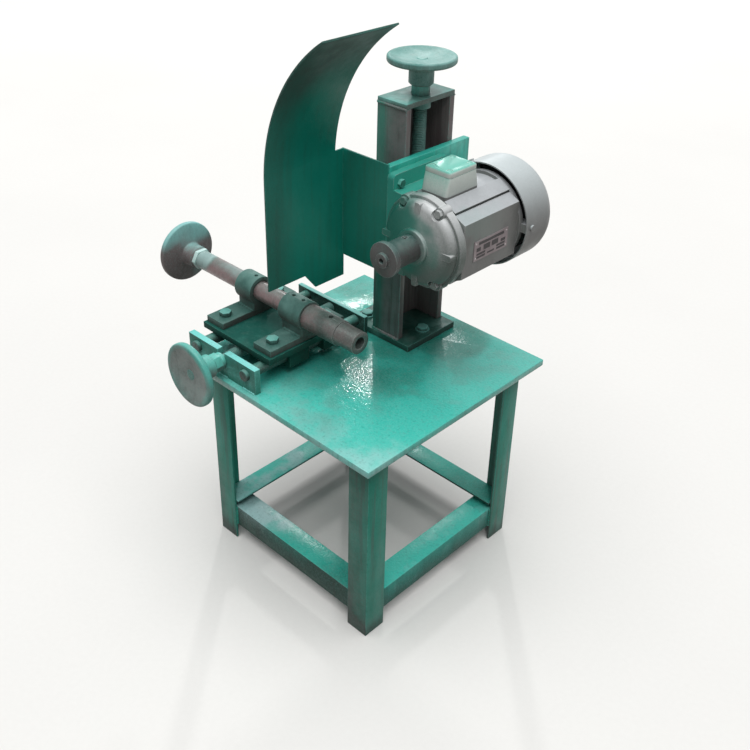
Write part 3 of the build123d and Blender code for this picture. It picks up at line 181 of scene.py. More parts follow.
FLOOR_HALF = 30
bm = bmesh.new()
bmesh.ops.create_grid(bm, x_segments=8, y_segments=8, size=FLOOR_HALF)
mesh = bpy.data.meshes.new("floor")
bm.to_mesh(mesh)
bm.free()
floor = bpy.data.objects.new("floor", mesh)
mesh.materials.append(floor_material())
scene.collection.objects.link(floor)
print("floor:", 2 * FLOOR_HALF, "m wide")

# %% [markdown]
# ## Sky and lamps
# A broad soft sky surrounds the machine, as in an open workshop, and like the floor it looks brighter
# than it lights. A sun with a very wide disc lights everything evenly and leaves soft shadows. One
# bright panel stands far back on the left, where a doorway would be: the table mirrors it as speckled
# glare beside the column.

# %% Sky and lamps
def lamp(name, kind, energy, place, target, **settings):
    light = bpy.data.lights.new(name, kind)
    light.energy = energy
    for key, value in settings.items():
        setattr(light, key, value)
    made = bpy.data.objects.new(name, light)
    aim = (Vector(place) - Vector(target)).to_track_quat("Z", "Y")
    made.matrix_world = Matrix.Translation(place) @ aim.to_matrix().to_4x4()
    scene.collection.objects.link(made)


SKY_LIGHT, SKY_SEEN = 0.22, 0.85
world = bpy.data.worlds.new("sky")
world.use_nodes = True
scene.world = world
tree = world.node_tree
tree.nodes.clear()
strength = slope(tree, seen_directly(tree), 0.0, 1.0, SKY_LIGHT, SKY_SEEN)
sky = put(tree, "ShaderNodeBackground", {"Color": tone(250, 252, 255), "Strength": strength})
put(tree, "ShaderNodeOutputWorld", {"Surface": sky.outputs[0]})

TABLE_MIDDLE = (0.0, 0.0, 0.27)
OVERHEAD = (0.15, -0.2, 2.0)
DOORWAY = (-3.66, 3.88, 3.43)
SUN_STRENGTH, PANEL_WATTS = 2.95, 56
SUN_DISC = math.radians(70)
PANEL_WIDE, PANEL_TALL = 0.24, 0.5
lamp("overhead", "SUN", SUN_STRENGTH, OVERHEAD, (0, 0, 0), angle=SUN_DISC)
lamp("doorway", "AREA", PANEL_WATTS, DOORWAY, TABLE_MIDDLE, shape="RECTANGLE", size=PANEL_WIDE,
     size_y=PANEL_TALL)
print("sky and", len(bpy.data.lights), "lamps")

# %% [markdown]
# ## Paint that was sprayed by hand
# The whole machine was sprayed green over a grey-brown primer, mostly from above and from the left.
# Faces that looked at the gun are solid green, others got a thin mist, and hollows stayed bare. One
# node group works that out from the face's direction, a cloud and a fine spatter at the border. On some
# pieces the same mask paints shade: the colour it leaves on faces turned away is a darker copy of the
# coat, which is painted shade.

# %% Node group: where the spray landed
def new_group(name, inputs, outputs):
    group = bpy.data.node_groups.new(name, "ShaderNodeTree")
    for socket, kind in inputs:
        group.interface.new_socket(socket, in_out="INPUT", socket_type="NodeSocket" + kind)
    for socket in outputs:
        group.interface.new_socket(socket, in_out="OUTPUT", socket_type="NodeSocketFloat")
    return group, put(group, "NodeGroupInput").outputs, put(group, "NodeGroupOutput").inputs


DROP_SCALE = 620.0
# Cover mask: where the spray landed; on some pieces its uncovered side is painted shade.
spray_and_shade_group, given, result = new_group(
    "spray_cover_and_shade",
    [("Aim", "Vector"), ("Bias", "Float"), ("Softness", "Float"), ("Cloud Size", "Float"),
     ("Cloud", "Float"), ("Drawn", "Vector"), ("Spatter", "Float")],
    ["Cover", "Patch"],
)
coords = put(spray_and_shade_group, "ShaderNodeTexCoord").outputs
facing = vector_calc(spray_and_shade_group, "DOT_PRODUCT", coords["Normal"], given["Aim"])
pulled = vector_calc(spray_and_shade_group, "MULTIPLY", coords["Object"], given["Drawn"])
patch = noise(spray_and_shade_group, pulled, given["Cloud Size"], 4.0)
drops = noise(spray_and_shade_group, coords["Object"], DROP_SCALE, 2.0, 0.7)
amount = calc(spray_and_shade_group, "ADD", facing, given["Bias"])
amount = calc(spray_and_shade_group, "ADD", amount, swing(spray_and_shade_group, patch, given["Cloud"]))
amount = calc(spray_and_shade_group, "ADD", amount, swing(spray_and_shade_group, drops, given["Spatter"]))
lowest = calc(spray_and_shade_group, "MULTIPLY", given["Softness"], -1.0)
spray_and_shade_group.links.new(slope(spray_and_shade_group, amount, lowest, given["Softness"]), result["Cover"])
spray_and_shade_group.links.new(slope(spray_and_shade_group, patch, 0.36, 0.64), result["Patch"])
print("group:", spray_and_shade_group.name)

# %% [markdown]
# ## The skin of the paint
# Thick enamel from a cheap gun dries as orange peel with a few pits. It isn't deep enough to model, but
# it breaks a reflection into specks, so it goes into the bump and into the roughness.

# %% Node group: orange peel
WAVE_SCALE, PIT_SCALE, STAIN_SCALE = 95.0, 210.0, 38.0
SPECK_SCALE, FLECK_SCALE = 540.0, 300.0
skin_group, given, result = new_group(
    "paint_skin", [("Grain", "Float"), ("Pits", "Float")], ["Height", "Matt", "Speck", "Fleck"]
)
place = put(skin_group, "ShaderNodeTexCoord").outputs["Object"]
peel = noise(skin_group, place, given["Grain"], 2.0, 0.6)
wave = noise(skin_group, place, WAVE_SCALE, 2.0)
cell = put(skin_group, "ShaderNodeTexVoronoi", {"Vector": place, "Scale": PIT_SCALE})
pit = slope(skin_group, cell.outputs["Distance"], 0.0, 0.22, 1.0, 0.0)
pit = calc(skin_group, "MULTIPLY", pit, given["Pits"])
height = calc(skin_group, "ADD", calc(skin_group, "MULTIPLY", wave, 0.6), peel)
height = calc(skin_group, "SUBTRACT", height, pit)
skin_group.links.new(height, result["Height"])
skin_group.links.new(noise(skin_group, place, STAIN_SCALE, 4.0, 0.65), result["Matt"])
speck = slope(skin_group, noise(skin_group, place, SPECK_SCALE, 3.0, 0.7), 0.42, 0.66)
skin_group.links.new(speck, result["Speck"])
fleck = slope(skin_group, noise(skin_group, place, FLECK_SCALE, 3.0, 0.65), 0.5, 0.72)
skin_group.links.new(fleck, result["Fleck"])
print("group:", skin_group.name)

# %% [markdown]
# ## Worn edges with a painted highlight, and settled dust
# Handling rubs paint off the corners, and grinding dust lies on level faces and runs down the uprights.
# The paler tone that edges get is partly that wear and partly a painted highlight along the edges.
# A Bevel node compares the true normal with a rounded one, which finds the edges on any solid. Dust
# uses the upward part of the normal, and streaks come from a noise that is drawn out along Z.

# %% Node groups: edges, dust and streaks
CHIP_SCALE, GRAIN_SCALE, STREAK_SCALE = 130.0, 75.0, 120.0
# Edge mask: worn paint on corners, and partly a painted highlight along the edges.
edge_and_sheen_group, given, result = new_group("worn_and_sheen_edges", [("Radius", "Float"), ("Break", "Float")], ["Edge"])
rounded = put(edge_and_sheen_group, "ShaderNodeBevel", {"Radius": given["Radius"]}, samples=4).outputs[0]
true = put(edge_and_sheen_group, "ShaderNodeNewGeometry").outputs["Normal"]
alike = vector_calc(edge_and_sheen_group, "DOT_PRODUCT", rounded, true)
edge = slope(edge_and_sheen_group, alike, 0.99, 0.86)
place = put(edge_and_sheen_group, "ShaderNodeTexCoord").outputs["Object"]
chips = noise(edge_and_sheen_group, place, CHIP_SCALE, 4.0, 0.7)
chips = slope(edge_and_sheen_group, chips, calc(edge_and_sheen_group, "SUBTRACT", given["Break"], 0.12), given["Break"])
edge_and_sheen_group.links.new(calc(edge_and_sheen_group, "MULTIPLY", edge, chips), result["Edge"])

dust_group, given, result = new_group(
    "dust_and_streaks", [("Dust", "Float"), ("Streaks", "Float")], ["Dust", "Streak"]
)
coords = put(dust_group, "ShaderNodeTexCoord").outputs
upward = put(dust_group, "ShaderNodeSeparateXYZ", {0: coords["Normal"]}).outputs["Z"]
lies = slope(dust_group, upward, 0.2, 0.95)
grains = slope(dust_group, noise(dust_group, coords["Object"], GRAIN_SCALE, 5.0, 0.7), 0.42, 0.72)
dust = calc(dust_group, "MULTIPLY", calc(dust_group, "MULTIPLY", lies, grains), given["Dust"])
dust_group.links.new(dust, result["Dust"])
drawn = stretch(dust_group, coords["Object"], (1.0, 1.0, 0.06))
run = slope(dust_group, noise(dust_group, drawn, STREAK_SCALE, 4.0, 0.6), 0.48, 0.66)
upright = slope(dust_group, calc(dust_group, "ABSOLUTE", upward), 0.6, 0.2)
run = calc(dust_group, "MULTIPLY", calc(dust_group, "MULTIPLY", run, upright), given["Streaks"])
dust_group.links.new(run, result["Streak"])
print("groups:", edge_and_sheen_group.name, dust_group.name)

# %% [markdown]
# ## Zones
# Paint changes slowly over a piece, where the gun passed closer or further off. A zone (axis, from, to,
# change) says that in four values: between two places on the axis the change grows from nothing to its
# full amount. The axis is X, Y or Z, or R for the distance from a line.

# %% Helpers for zones and groups
def ramp_along(tree, axes, zones, start):
    total = start
    for axis, low, high, change in zones:
        total = calc(tree, "ADD", total, slope(tree, axes[axis], low, high, 0.0, change))
    return total


def distance_from(tree, place, centre, mask):
    offset = vector_calc(tree, "SUBTRACT", place, centre)
    return vector_calc(tree, "LENGTH", vector_calc(tree, "MULTIPLY", offset, mask))


def group_node(tree, group, inputs):
    return put(tree, "ShaderNodeGroup", inputs, node_tree=group).outputs


print("zone helpers ready")

# %% [markdown]
# ## One recipe for the painted pieces
# Every painted piece has the same layers: an undercoat, the coat with paler patches, sometimes a second
# coat, then specks, streaks, dust and worn edges that also carry a painted highlight. So one function
# builds the material, and each piece gives its own colours and zones. The inputs are:
# - `under_and_shade`, `paint`, `pale`: the undercoat (painted shade on some pieces), the coat, its paler
#   patches
# - `aim`, `bias`, `soft`: where the gun came from, how much landed and how soft the border is
# - `cloud` (size, strength), `drawn`, `spatter`: patches, their stretch by axis, drops at the border
# - `zones`: changes of the cover; `pale_bias`, `pale_and_sheen_zones`, `patchy`: where and how far the
#   coat pales, which on some pieces is a painted sheen
# - `mist`, `fleck`, `blotch`: pale specks, dark specks and stains in the undercoat
# - `over` (colour, start, zones): the second coat, partly painted shade on the table and the column
# - `around` (centre, mask): measures the distance R from a line, as one more axis for the zones
# - `rough` (undercoat, coat), `metal`, `skin` (grain, pits, depth), `turned`, `gloss`: the surface
# - `wear`, `edge_tone`, `dust`, `streaks`, `streak_tone`: what use and the shop
#   have done, with a painted highlight on the edges

# %% The sprayed finish
BARE = tone(128, 124, 120)
GREEN = tone(66, 176, 160)
MINT = tone(126, 204, 194)
DUST = tone(178, 180, 176)
SOOT = tone(58, 54, 50)
DEEP = tone(26, 112, 98)
EDGE_RADIUS = 0.0012
SKIN_DEPTH = 0.0006


def sprayed(name, under_and_shade=BARE, paint=GREEN, pale=MINT, aim=(-0.2, -0.3, 0.93), bias=0.3, soft=0.5,
            cloud=(16.0, 1.0), drawn=(1.0, 1.0, 1.0), spatter=0.5, zones=(), pale_bias=-0.4,
            pale_and_sheen_zones=(), patchy=1.0, mist=0.12, fleck=0.2, blotch=0.4, over=None, around=None,
            rough=(0.55, 0.34), metal=0.0, skin=(520.0, 0.3, 0.2), turned=None, gloss=0.4, wear=0.5,
            edge_tone=MINT, dust=0.15, streaks=0.2, streak_tone=SOOT):
    material = bpy.data.materials.new(name)
    material.use_nodes = True
    tree = material.node_tree
    shader = tree.nodes["Principled BSDF"]
    place = put(tree, "ShaderNodeTexCoord").outputs["Object"]
    axes = dict(put(tree, "ShaderNodeSeparateXYZ", {0: place}).outputs.items())
    if around:
        axes["R"] = distance_from(tree, place, *around)
    landed_and_shade = group_node(tree, spray_and_shade_group, {
        "Aim": aim, "Bias": ramp_along(tree, axes, zones, bias), "Softness": soft,
        "Cloud Size": cloud[0], "Cloud": cloud[1], "Drawn": drawn, "Spatter": spatter})
    peel = group_node(tree, skin_group, {"Grain": skin[0], "Pits": skin[1]})
    worn_and_sheen = group_node(tree, edge_and_sheen_group, {"Radius": EDGE_RADIUS, "Break": 0.62 - 0.2 * wear})
    dirt = group_node(tree, dust_group, {"Dust": dust, "Streaks": streaks})
    # cover: the spray's cover, which on some pieces also places painted shade.
    cover = landed_and_shade["Cover"]
    base = mix(tree, slope(tree, peel["Matt"], 0.4, 0.75, 0.0, blotch), under_and_shade, SOOT)
    lightness = ramp_along(tree, axes, pale_and_sheen_zones, pale_bias)
    lightness = calc(tree, "ADD", lightness, calc(tree, "MULTIPLY", landed_and_shade["Patch"], patchy))
    coat = mix(tree, slope(tree, lightness, 0.0, 1.0), paint, pale)
    colour = mix(tree, cover, base, coat)
    if over:
        shade, start, over_zones = over
        reach = swing(tree, landed_and_shade["Patch"], 0.5)
        reach = calc(tree, "ADD", reach, ramp_along(tree, axes, over_zones, start))
        colour = mix(tree, slope(tree, reach, 0.0, 1.0), colour, shade)
    colour = mix(tree, calc(tree, "MULTIPLY", peel["Fleck"], fleck), colour, DEEP)
    colour = mix(tree, calc(tree, "MULTIPLY", peel["Speck"], mist), colour, pale)
    colour = mix(tree, dirt["Streak"], colour, streak_tone)
    colour = mix(tree, dirt["Dust"], colour, DUST)
    # Paler edges: worn paint, and partly a painted highlight.
    colour = mix(tree, calc(tree, "MULTIPLY", worn_and_sheen["Edge"], wear), colour, edge_tone)
    tree.links.new(colour, shader.inputs["Base Color"])
    matt = slope(tree, cover, 0.0, 1.0, *rough)
    matt = calc(tree, "ADD", matt, slope(tree, peel["Matt"], 0.3, 0.7, -0.06, 0.1))
    matt = calc(tree, "ADD", matt, calc(tree, "MULTIPLY", dirt["Dust"], 0.3), clamp=True)
    tree.links.new(matt, shader.inputs["Roughness"])
    if metal:
        bright = calc(tree, "MULTIPLY", calc(tree, "SUBTRACT", 1.0, cover), metal)
        tree.links.new(bright, shader.inputs["Metallic"])
    height = peel["Height"]
    if turned:
        rings = noise(tree, stretch(tree, place, turned), 1.0, 3.0, 0.7)
        height = calc(tree, "ADD", height, calc(tree, "MULTIPLY", rings, 0.8))
    bump = put(tree, "ShaderNodeBump", {"Strength": skin[2], "Distance": SKIN_DEPTH, "Height": height})
    tree.links.new(bump.outputs[0], shader.inputs["Normal"])
    shader.inputs["Specular IOR Level"].default_value = gloss
    return material


def bare(name, under_and_shade, **changes):
    return sprayed(name, under_and_shade=under_and_shade, bias=-2.0, fleck=0.0, **changes)


ROUND_Y = (1.0, 0.0, 1.0)
ROUND_Z = (1.0, 1.0, 0.0)
print("sprayed finish ready")

# %% [markdown]
# ## Green enamel on the stand and the table
# The table has two greens in soft patches, and a darker green towards its left and back that is partly
# painted shade beside the slide. Its near corner is paler, a painted sheen, and right of the column,
# which shaded the gun, it stayed dull. Legs show streaks of primer, and their feet are rubbed grey. The
# stretchers' upright faces are a dark green that is painted shade, and their left ends are paler with
# a painted highlight. The coat on the table and the stretchers is thick, and its orange peel is the
# deepest.

# %% Enamel for stand and table
THICK_SKIN = (330.0, 0.4, 0.6)
paints = {}
paints["table"] = sprayed(
    "table_enamel", under_and_shade=tone(46, 140, 124), paint=tone(70, 198, 182), pale=tone(160, 212, 208),
    bias=0.15, cloud=(22.0, 1.9), zones=[("R", 0.066, 0.036, -1.2), ("X", 0.07, 0.13, 0.3)],
    # The paler near corner (the Y zone) is a painted sheen.
    pale_bias=-0.22, pale_and_sheen_zones=[("Y", -0.05, -0.16, 0.42)], patchy=0.5, mist=0.14, fleck=0.3,
    # Second coat: darker green towards the left and back, partly painted shade beside the slide.
    over=(tone(38, 148, 130), -0.1, [("X", 0.14, 0.04, 0.35), ("Y", -0.1, 0.0, 0.2)]),
    around=((0.042, 0.106, 0.26), ROUND_Z), rough=(0.3, 0.13), skin=THICK_SKIN, dust=0.04)
paints["leg"] = sprayed(
    "leg_enamel", under_and_shade=tone(94, 108, 103), paint=tone(36, 142, 122), pale=tone(66, 164, 146),
    aim=(0.5, 0.15, 0.4), bias=0.05, cloud=(26.0, 1.3), drawn=(1.0, 1.0, 0.22),
    zones=[("X", 0.04, -0.1, 0.4), ("Z", 0.03, 0.0, -0.8)], fleck=0.35, gloss=0.2, streaks=0.4,
    streak_tone=tone(84, 78, 80))
# The dark green on the upright faces is painted shade, and the pale left ends a painted highlight.
paints["stretcher"] = sprayed(
    "stretcher_enamel", under_and_shade=tone(28, 66, 56), paint=tone(56, 184, 166), pale=tone(168, 206, 206),
    aim=(0.12, 0.1, 0.9), bias=-0.25, cloud=(44.0, 0.25), zones=[("X", 0.0, 0.08, -0.6)],
    pale_and_sheen_zones=[("X", 0.05, -0.1, 1.15)], patchy=0.4, mist=0.1, fleck=0.3, rough=(0.5, 0.26),
    skin=THICK_SKIN, gloss=0.3, dust=0.05)
# The dark green on the upright faces is painted shade.
paints["side_stretcher"] = sprayed(
    "side_stretcher_enamel", under_and_shade=tone(28, 66, 56), paint=tone(70, 198, 181), pale=tone(150, 206, 202),
    aim=(0.12, 0.1, 0.9), bias=-0.2, cloud=(30.0, 0.4), pale_bias=-0.7,
    pale_and_sheen_zones=[("X", -0.06, -0.12, 0.75)], mist=0.1, fleck=0.3, rough=(0.5, 0.34),
    skin=THICK_SKIN, gloss=0.25, dust=0.05)
print("paints:", len(paints))

# %% [markdown]
# ## Green enamel on the column
# On the column the gun reached only the left of the front face. The inside of the channel and the
# flanges' edges stayed brown, and the slight darkening of that brown is painted shade in the hollow:
# that is a second coat, and its narrow zones keep it off the outer faces.

# %% Enamel for the column
paints["base"] = sprayed(
    "base_enamel", under_and_shade=tone(50, 60, 56), paint=tone(36, 86, 76), pale=tone(84, 134, 124), bias=-0.1,
    gloss=0.25)
paints["column"] = sprayed(
    "column_enamel", under_and_shade=tone(130, 124, 125), paint=tone(48, 124, 108), pale=tone(92, 146, 134),
    aim=(-0.3, -0.9, 0.2), bias=-1.1, cloud=(22.0, 1.0), drawn=(1.0, 1.0, 0.15),
    zones=[("X", -0.014, -0.034, 0.85)],
    # Second coat inside the channel: brown primer, darkened as painted shade.
    over=(tone(122, 110, 110), -2.0,
          [("Y", 0.0485, 0.0505, 1.0), ("Y", 0.1275, 0.1255, 1.0), ("X", -0.0355, -0.034, 1.0)]),
    rough=(0.55, 0.42), gloss=0.3, streaks=0.6, streak_tone=tone(84, 72, 74))
paints["cap"] = sprayed(
    "cap_enamel", under_and_shade=tone(104, 116, 111), paint=tone(80, 138, 128), bias=-0.55,
    zones=[("X", -0.01, -0.036, 0.5)], rough=(0.6, 0.5), dust=0.2)
print("paints:", len(paints))

# %% [markdown]
# ## Green enamel on the cross slide, the motor plate and the guard
# The slide's plates are bright on top and darker on their flanks. The rear plate's dark flank is
# painted shade, and the mint along the plates' top edges is a painted highlight. The saddle is a dark
# green with paler edges, partly a painted highlight, and the pillows show primer under a thin coat. The
# motor plate is a full green. The guard turns a darker grey-green towards its top and its front edge.

# %% Enamel for slide, motor plate and guard
FROM_ABOVE = (0.0, 0.0, 1.0)
# The mint along the top edges is a painted highlight.
paints["plate"] = sprayed(
    "slide_plate_enamel", under_and_shade=tone(72, 142, 128), paint=tone(122, 216, 210), aim=FROM_ABOVE,
    bias=-0.35, gloss=0.3, wear=0.8)
# The dark flank is painted shade, and the mint top edge a painted highlight.
paints["rear_plate"] = sprayed(
    "rear_plate_enamel", under_and_shade=tone(34, 66, 59), paint=tone(120, 192, 184), aim=FROM_ABOVE,
    bias=-0.5, gloss=0.25, wear=0.9)
# The paler edges are partly a painted highlight.
paints["saddle"] = sprayed(
    "saddle_enamel", under_and_shade=tone(28, 72, 63), paint=tone(26, 82, 73), pale=tone(60, 128, 116),
    aim=FROM_ABOVE, bias=-0.3, mist=0.06, rough=(0.7, 0.6), gloss=0.1, wear=0.6,
    edge_tone=tone(84, 146, 134), dust=0.04)
paints["pillow"] = sprayed(
    "pillow_enamel", under_and_shade=tone(92, 89, 86), paint=tone(61, 99, 92), pale=tone(104, 146, 138),
    aim=(-0.1, -0.2, 0.8), bias=-0.1, rough=(0.6, 0.45), gloss=0.2, edge_tone=tone(120, 166, 158),
    dust=0.06)
paints["head"] = sprayed(
    "head_enamel", under_and_shade=tone(44, 138, 119), paint=tone(54, 184, 166), pale=tone(94, 206, 190),
    aim=(0.2, -0.4, 0.9), bias=0.25, mist=0.06, gloss=0.3, wear=0.9, dust=0.05)
paints["guard"] = sprayed(
    "guard_enamel", under_and_shade=tone(54, 85, 77), paint=tone(20, 140, 122), pale=tone(48, 156, 140),
    aim=(0.6, -0.3, 0.1), bias=-0.66, soft=0.42, cloud=(12.0, 0.5), drawn=(1.0, 1.0, 0.3), spatter=0.3,
    zones=[("Y", -0.09, -0.04, 0.5), ("Z", 0.56, 0.66, -0.6)], pale_bias=-0.8, mist=0.04,
    rough=(0.5, 0.36), gloss=0.25, dust=0.05, streaks=0.15)
print("paints:", len(paints))

# %% [markdown]
# ## Knobs, nuts and bolts
# The hand knobs are cast iron: the rims and dishes caught the spray, the hands have rubbed the rest.
# Nuts and bolt heads were painted in place, so the nuts' top faces are bright and their flanks dark. On
# the bolt heads the bright tops are a painted highlight and the dark flanks are painted shade.

# %% Enamel for knobs, nuts and bolts
CAST_SKIN = (420.0, 0.5, 0.3)
paints["top_knob"] = sprayed(
    "top_knob_enamel", under_and_shade=tone(106, 132, 124), paint=tone(80, 140, 132), pale=tone(136, 180, 174),
    aim=FROM_ABOVE, bias=0.1, pale_bias=-0.3, mist=0.35, fleck=0.4, rough=(0.6, 0.5),
    skin=(520.0, 0.8, 0.4), dust=0.2)
paints["feed_knob"] = sprayed(
    "feed_knob_enamel", under_and_shade=tone(138, 148, 145), paint=tone(96, 184, 172), pale=tone(160, 208, 200),
    aim=(0.1, 0.3, 0.9), bias=-0.15,
    over=(tone(84, 176, 164), -0.5,
          [("R", 0.027, 0.035, 0.7), ("X", -0.1, -0.07, 0.4), ("Z", 0.28, 0.32, 0.4)]),
    around=((-0.092, 0.0, 0.286), ROUND_Y), skin=CAST_SKIN, wear=0.9)
paints["bar_knob"] = sprayed(
    "bar_knob_enamel", under_and_shade=tone(118, 108, 108), paint=tone(124, 186, 180), pale=tone(176, 208, 208),
    aim=(0.2, 0.1, 0.9), bias=-0.8, pale_bias=-0.5,
    over=(tone(134, 196, 193), -0.3, [("Z", 0.337, 0.36, 0.8), ("Y", -0.08, -0.05, 0.5)]),
    skin=CAST_SKIN, gloss=0.3, wear=0.7)
paints["nut"] = sprayed(
    "nut_enamel", under_and_shade=tone(104, 128, 121), paint=tone(96, 192, 178), aim=(0.0, -0.2, 0.9), bias=-0.1)
paints["bar_nut"] = sprayed(
    "bar_nut_enamel", under_and_shade=tone(184, 214, 210), paint=tone(200, 228, 224), aim=(0.0, -0.2, 0.9),
    bias=-0.1)
# Bright top is a painted highlight, dark flanks painted shade.
paints["bolt"] = sprayed(
    "bolt_enamel", under_and_shade=tone(54, 86, 79), paint=tone(92, 160, 150), aim=FROM_ABOVE, bias=-0.35,
    rough=(0.6, 0.5))
# Mint top is a painted highlight on the dark green bolt.
paints["foot_bolt"] = sprayed(
    "foot_bolt_enamel", under_and_shade=tone(52, 110, 98), paint=tone(112, 192, 178), aim=(-0.2, -0.6, 0.8),
    bias=-0.2)
print("paints:", len(paints))

# %% [markdown]
# ## The motor's silver coat
# The motor came from its maker in silver paint with a slightly hammered surface. A grey dulls its sides
# and its underside, darker towards the bottom, which is partly grime and partly painted shade. The front
# caught overspray when the plate and the guard were done. It is the same recipe: silver takes the
# undercoat's place, the coat on top is that grey, and the overspray is a second coat.

# %% Silver for the motor
SILVER = tone(186, 190, 193)
BRIGHT = tone(212, 215, 216)
GRIME_AND_SHADE = tone(126, 128, 126)
DRIFT = tone(62, 170, 153)
HAMMERED_SKIN, SMOOTH_SKIN = (300.0, 0.2, 0.2), (300.0, 0.1, 0.12)
RINGS_Y = (40.0, 1500.0, 40.0)
# Grey on the sides and underside: partly grime, partly painted shade.
paints["housing"] = sprayed(
    "housing_silver", under_and_shade=SILVER, paint=GRIME_AND_SHADE, pale=tone(150, 152, 150), aim=(0.1, -0.1, -1.0),
    bias=0.4, soft=0.6, cloud=(18.0, 0.4), mist=0.05, fleck=0.06, blotch=0.12,
    over=(DRIFT, -0.2, [("X", 0.075, 0.035, 1.1), ("Y", 0.1, 0.03, 0.15)]), rough=(0.4, 0.5), metal=0.1,
    skin=HAMMERED_SKIN, gloss=0.35, edge_tone=BRIGHT, dust=0.05, streaks=0.05)
# Grey lower down and on the sides: partly grime, partly painted shade.
paints["shield"] = sprayed(
    "shield_silver", under_and_shade=tone(208, 211, 211), paint=tone(92, 104, 99), pale=tone(118, 130, 124),
    aim=(-0.2, 0.2, -0.9), bias=0.15, soft=0.7, cloud=(18.0, 0.3),
    zones=[("Z", 0.46, 0.42, 0.5), ("X", 0.1, 0.13, 0.4)], mist=0.05, fleck=0.06, blotch=0.12,
    over=(tone(46, 122, 108), -0.18, [("X", 0.1, 0.06, 0.9), ("R", 0.042, 0.028, 0.6)]),
    around=((0.0778, 0.0, 0.447), ROUND_Y), rough=(0.36, 0.5), metal=0.1, skin=HAMMERED_SKIN,
    edge_tone=BRIGHT, dust=0.05, streaks=0.05)
# Grey on the sides and underside: partly grime, partly painted shade.
paints["cover"] = sprayed(
    "cover_silver", under_and_shade=tone(204, 213, 214), paint=tone(120, 121, 120), pale=tone(134, 136, 134),
    aim=(0.2, 0.0, -1.0), soft=0.9, cloud=(8.0, 0.2), spatter=0.2, mist=0.04, fleck=0.05, blotch=0.08,
    rough=(0.36, 0.45), metal=0.1, skin=SMOOTH_SKIN, wear=0.4, edge_tone=BRIGHT, dust=0.03,
    streaks=0.03)
paints["terminal"] = sprayed(
    "terminal_enamel", under_and_shade=tone(222, 232, 226), paint=tone(112, 194, 177), pale=tone(140, 208, 194),
    aim=(-0.1, -0.2, 1.0), bias=-0.5, cloud=(10.0, 0.4), mist=0.05, fleck=0.06, blotch=0.08,
    over=(tone(92, 176, 156), -0.3, [("X", 0.085, 0.055, 1.0)]), skin=SMOOTH_SKIN, gloss=0.3,
    wear=0.4, dust=0.04, streaks=0.03)
paints["hub"] = sprayed(
    "hub_finish", under_and_shade=tone(84, 82, 82), paint=tone(68, 96, 92), pale=tone(104, 134, 128),
    aim=(-0.2, 0.1, 0.95), bias=-0.4, rough=(0.42, 0.4), metal=0.1, turned=RINGS_Y,
    gloss=0.35, wear=0.8, edge_tone=tone(170, 178, 176))
print("paints:", len(paints))

# %% [markdown]
# ## Bare and machined metal
# The work bar, rods and screws are turned steel that has browned in the shop. Beside its nut the bar is
# pale mint, partly paint that it caught there and partly a painted highlight. Fine rings run round the
# axis: a noise squeezed hard along that axis gives them.
# Bronze, copper and the motor's iron are inside, and so is the plastic fan. The name plate is thin metal
# with dark fields. `bare` is the same recipe with no coat on top.

# %% Steel, bronze, copper and iron
RINGS_X = (1500.0, 40.0, 40.0)
paints["bar"] = sprayed(
    "bar_steel", under_and_shade=tone(146, 121, 121), paint=tone(90, 120, 112), pale=tone(158, 186, 183),
    # Pale mint end beside the nut: partly paint, partly a painted highlight.
    aim=(0.0, -0.2, 0.9), bias=-0.9, cloud=(18.0, 1.2), zones=[("X", -0.196, -0.214, 1.2)],
    pale_and_sheen_zones=[("X", -0.196, -0.214, 1.0)], fleck=0.15,
    over=(tone(72, 85, 80), 0.0, [("X", -0.03, 0.004, 0.8)]), rough=(0.36, 0.4), metal=0.25,
    turned=RINGS_X, gloss=0.35, wear=0.7, edge_tone=tone(170, 182, 178), dust=0.1)
paints["rod"] = sprayed(
    "rod_steel", under_and_shade=tone(70, 82, 77), paint=tone(60, 118, 106), aim=FROM_ABOVE, bias=-0.5,
    rough=(0.4, 0.4), metal=0.3, turned=RINGS_Y)
paints["screw"] = sprayed(
    "screw_steel", under_and_shade=tone(92, 100, 98), paint=tone(84, 132, 124), aim=(0.5, -0.5, 0.3), bias=-0.1,
    rough=(0.42, 0.4), metal=0.3, edge_tone=tone(140, 166, 160))
paints["bronze"] = bare("nut_bronze", under_and_shade=tone(176, 132, 72), rough=(0.4, 0.4), metal=0.9)
paints["iron"] = bare(
    "core_iron", under_and_shade=tone(120, 120, 122), rough=(0.5, 0.5), metal=0.8, turned=(20.0, 2400.0, 20.0))
paints["copper"] = bare(
    "winding_copper", under_and_shade=tone(190, 110, 66), mist=0.0, rough=(0.35, 0.35), metal=0.8,
    turned=(900.0, 60.0, 900.0))
paints["bearing"] = bare(
    "bearing_steel", under_and_shade=tone(196, 198, 200), mist=0.0, rough=(0.25, 0.25), metal=1.0)
paints["fan"] = bare("fan_plastic", under_and_shade=tone(54, 56, 58), mist=0.0, rough=(0.5, 0.5), wear=0.1)
paints["plate_metal"] = bare(
    "plate_metal", under_and_shade=tone(158, 146, 149), mist=0.0, rough=(0.4, 0.4), metal=0.1, wear=0.2, dust=0.1,
    streaks=0.1)
paints["plate_trim"] = bare(
    "plate_trim", under_and_shade=tone(208, 200, 200), mist=0.0, rough=(0.4, 0.4), metal=0.1, wear=0.2, dust=0.1,
    streaks=0.1)
paints["plate_field"] = bare(
    "plate_field", under_and_shade=tone(38, 32, 35), mist=0.0, rough=(0.4, 0.4), wear=0.3,
    edge_tone=tone(150, 142, 144), dust=0.1, streaks=0.0)
print("paints:", len(paints))

# %% [markdown]
# ## Rounded edges on the solids
# The solids arrive as loose triangles with knife-sharp edges. A Weld joins the triangles, Decimate
# merges those that lie in one plane, and a narrow Bevel rounds the edges so that they catch light. A
# small node modifier then shades curved faces smooth and keeps real corners crisp. The meshes
# themselves stay as they are.

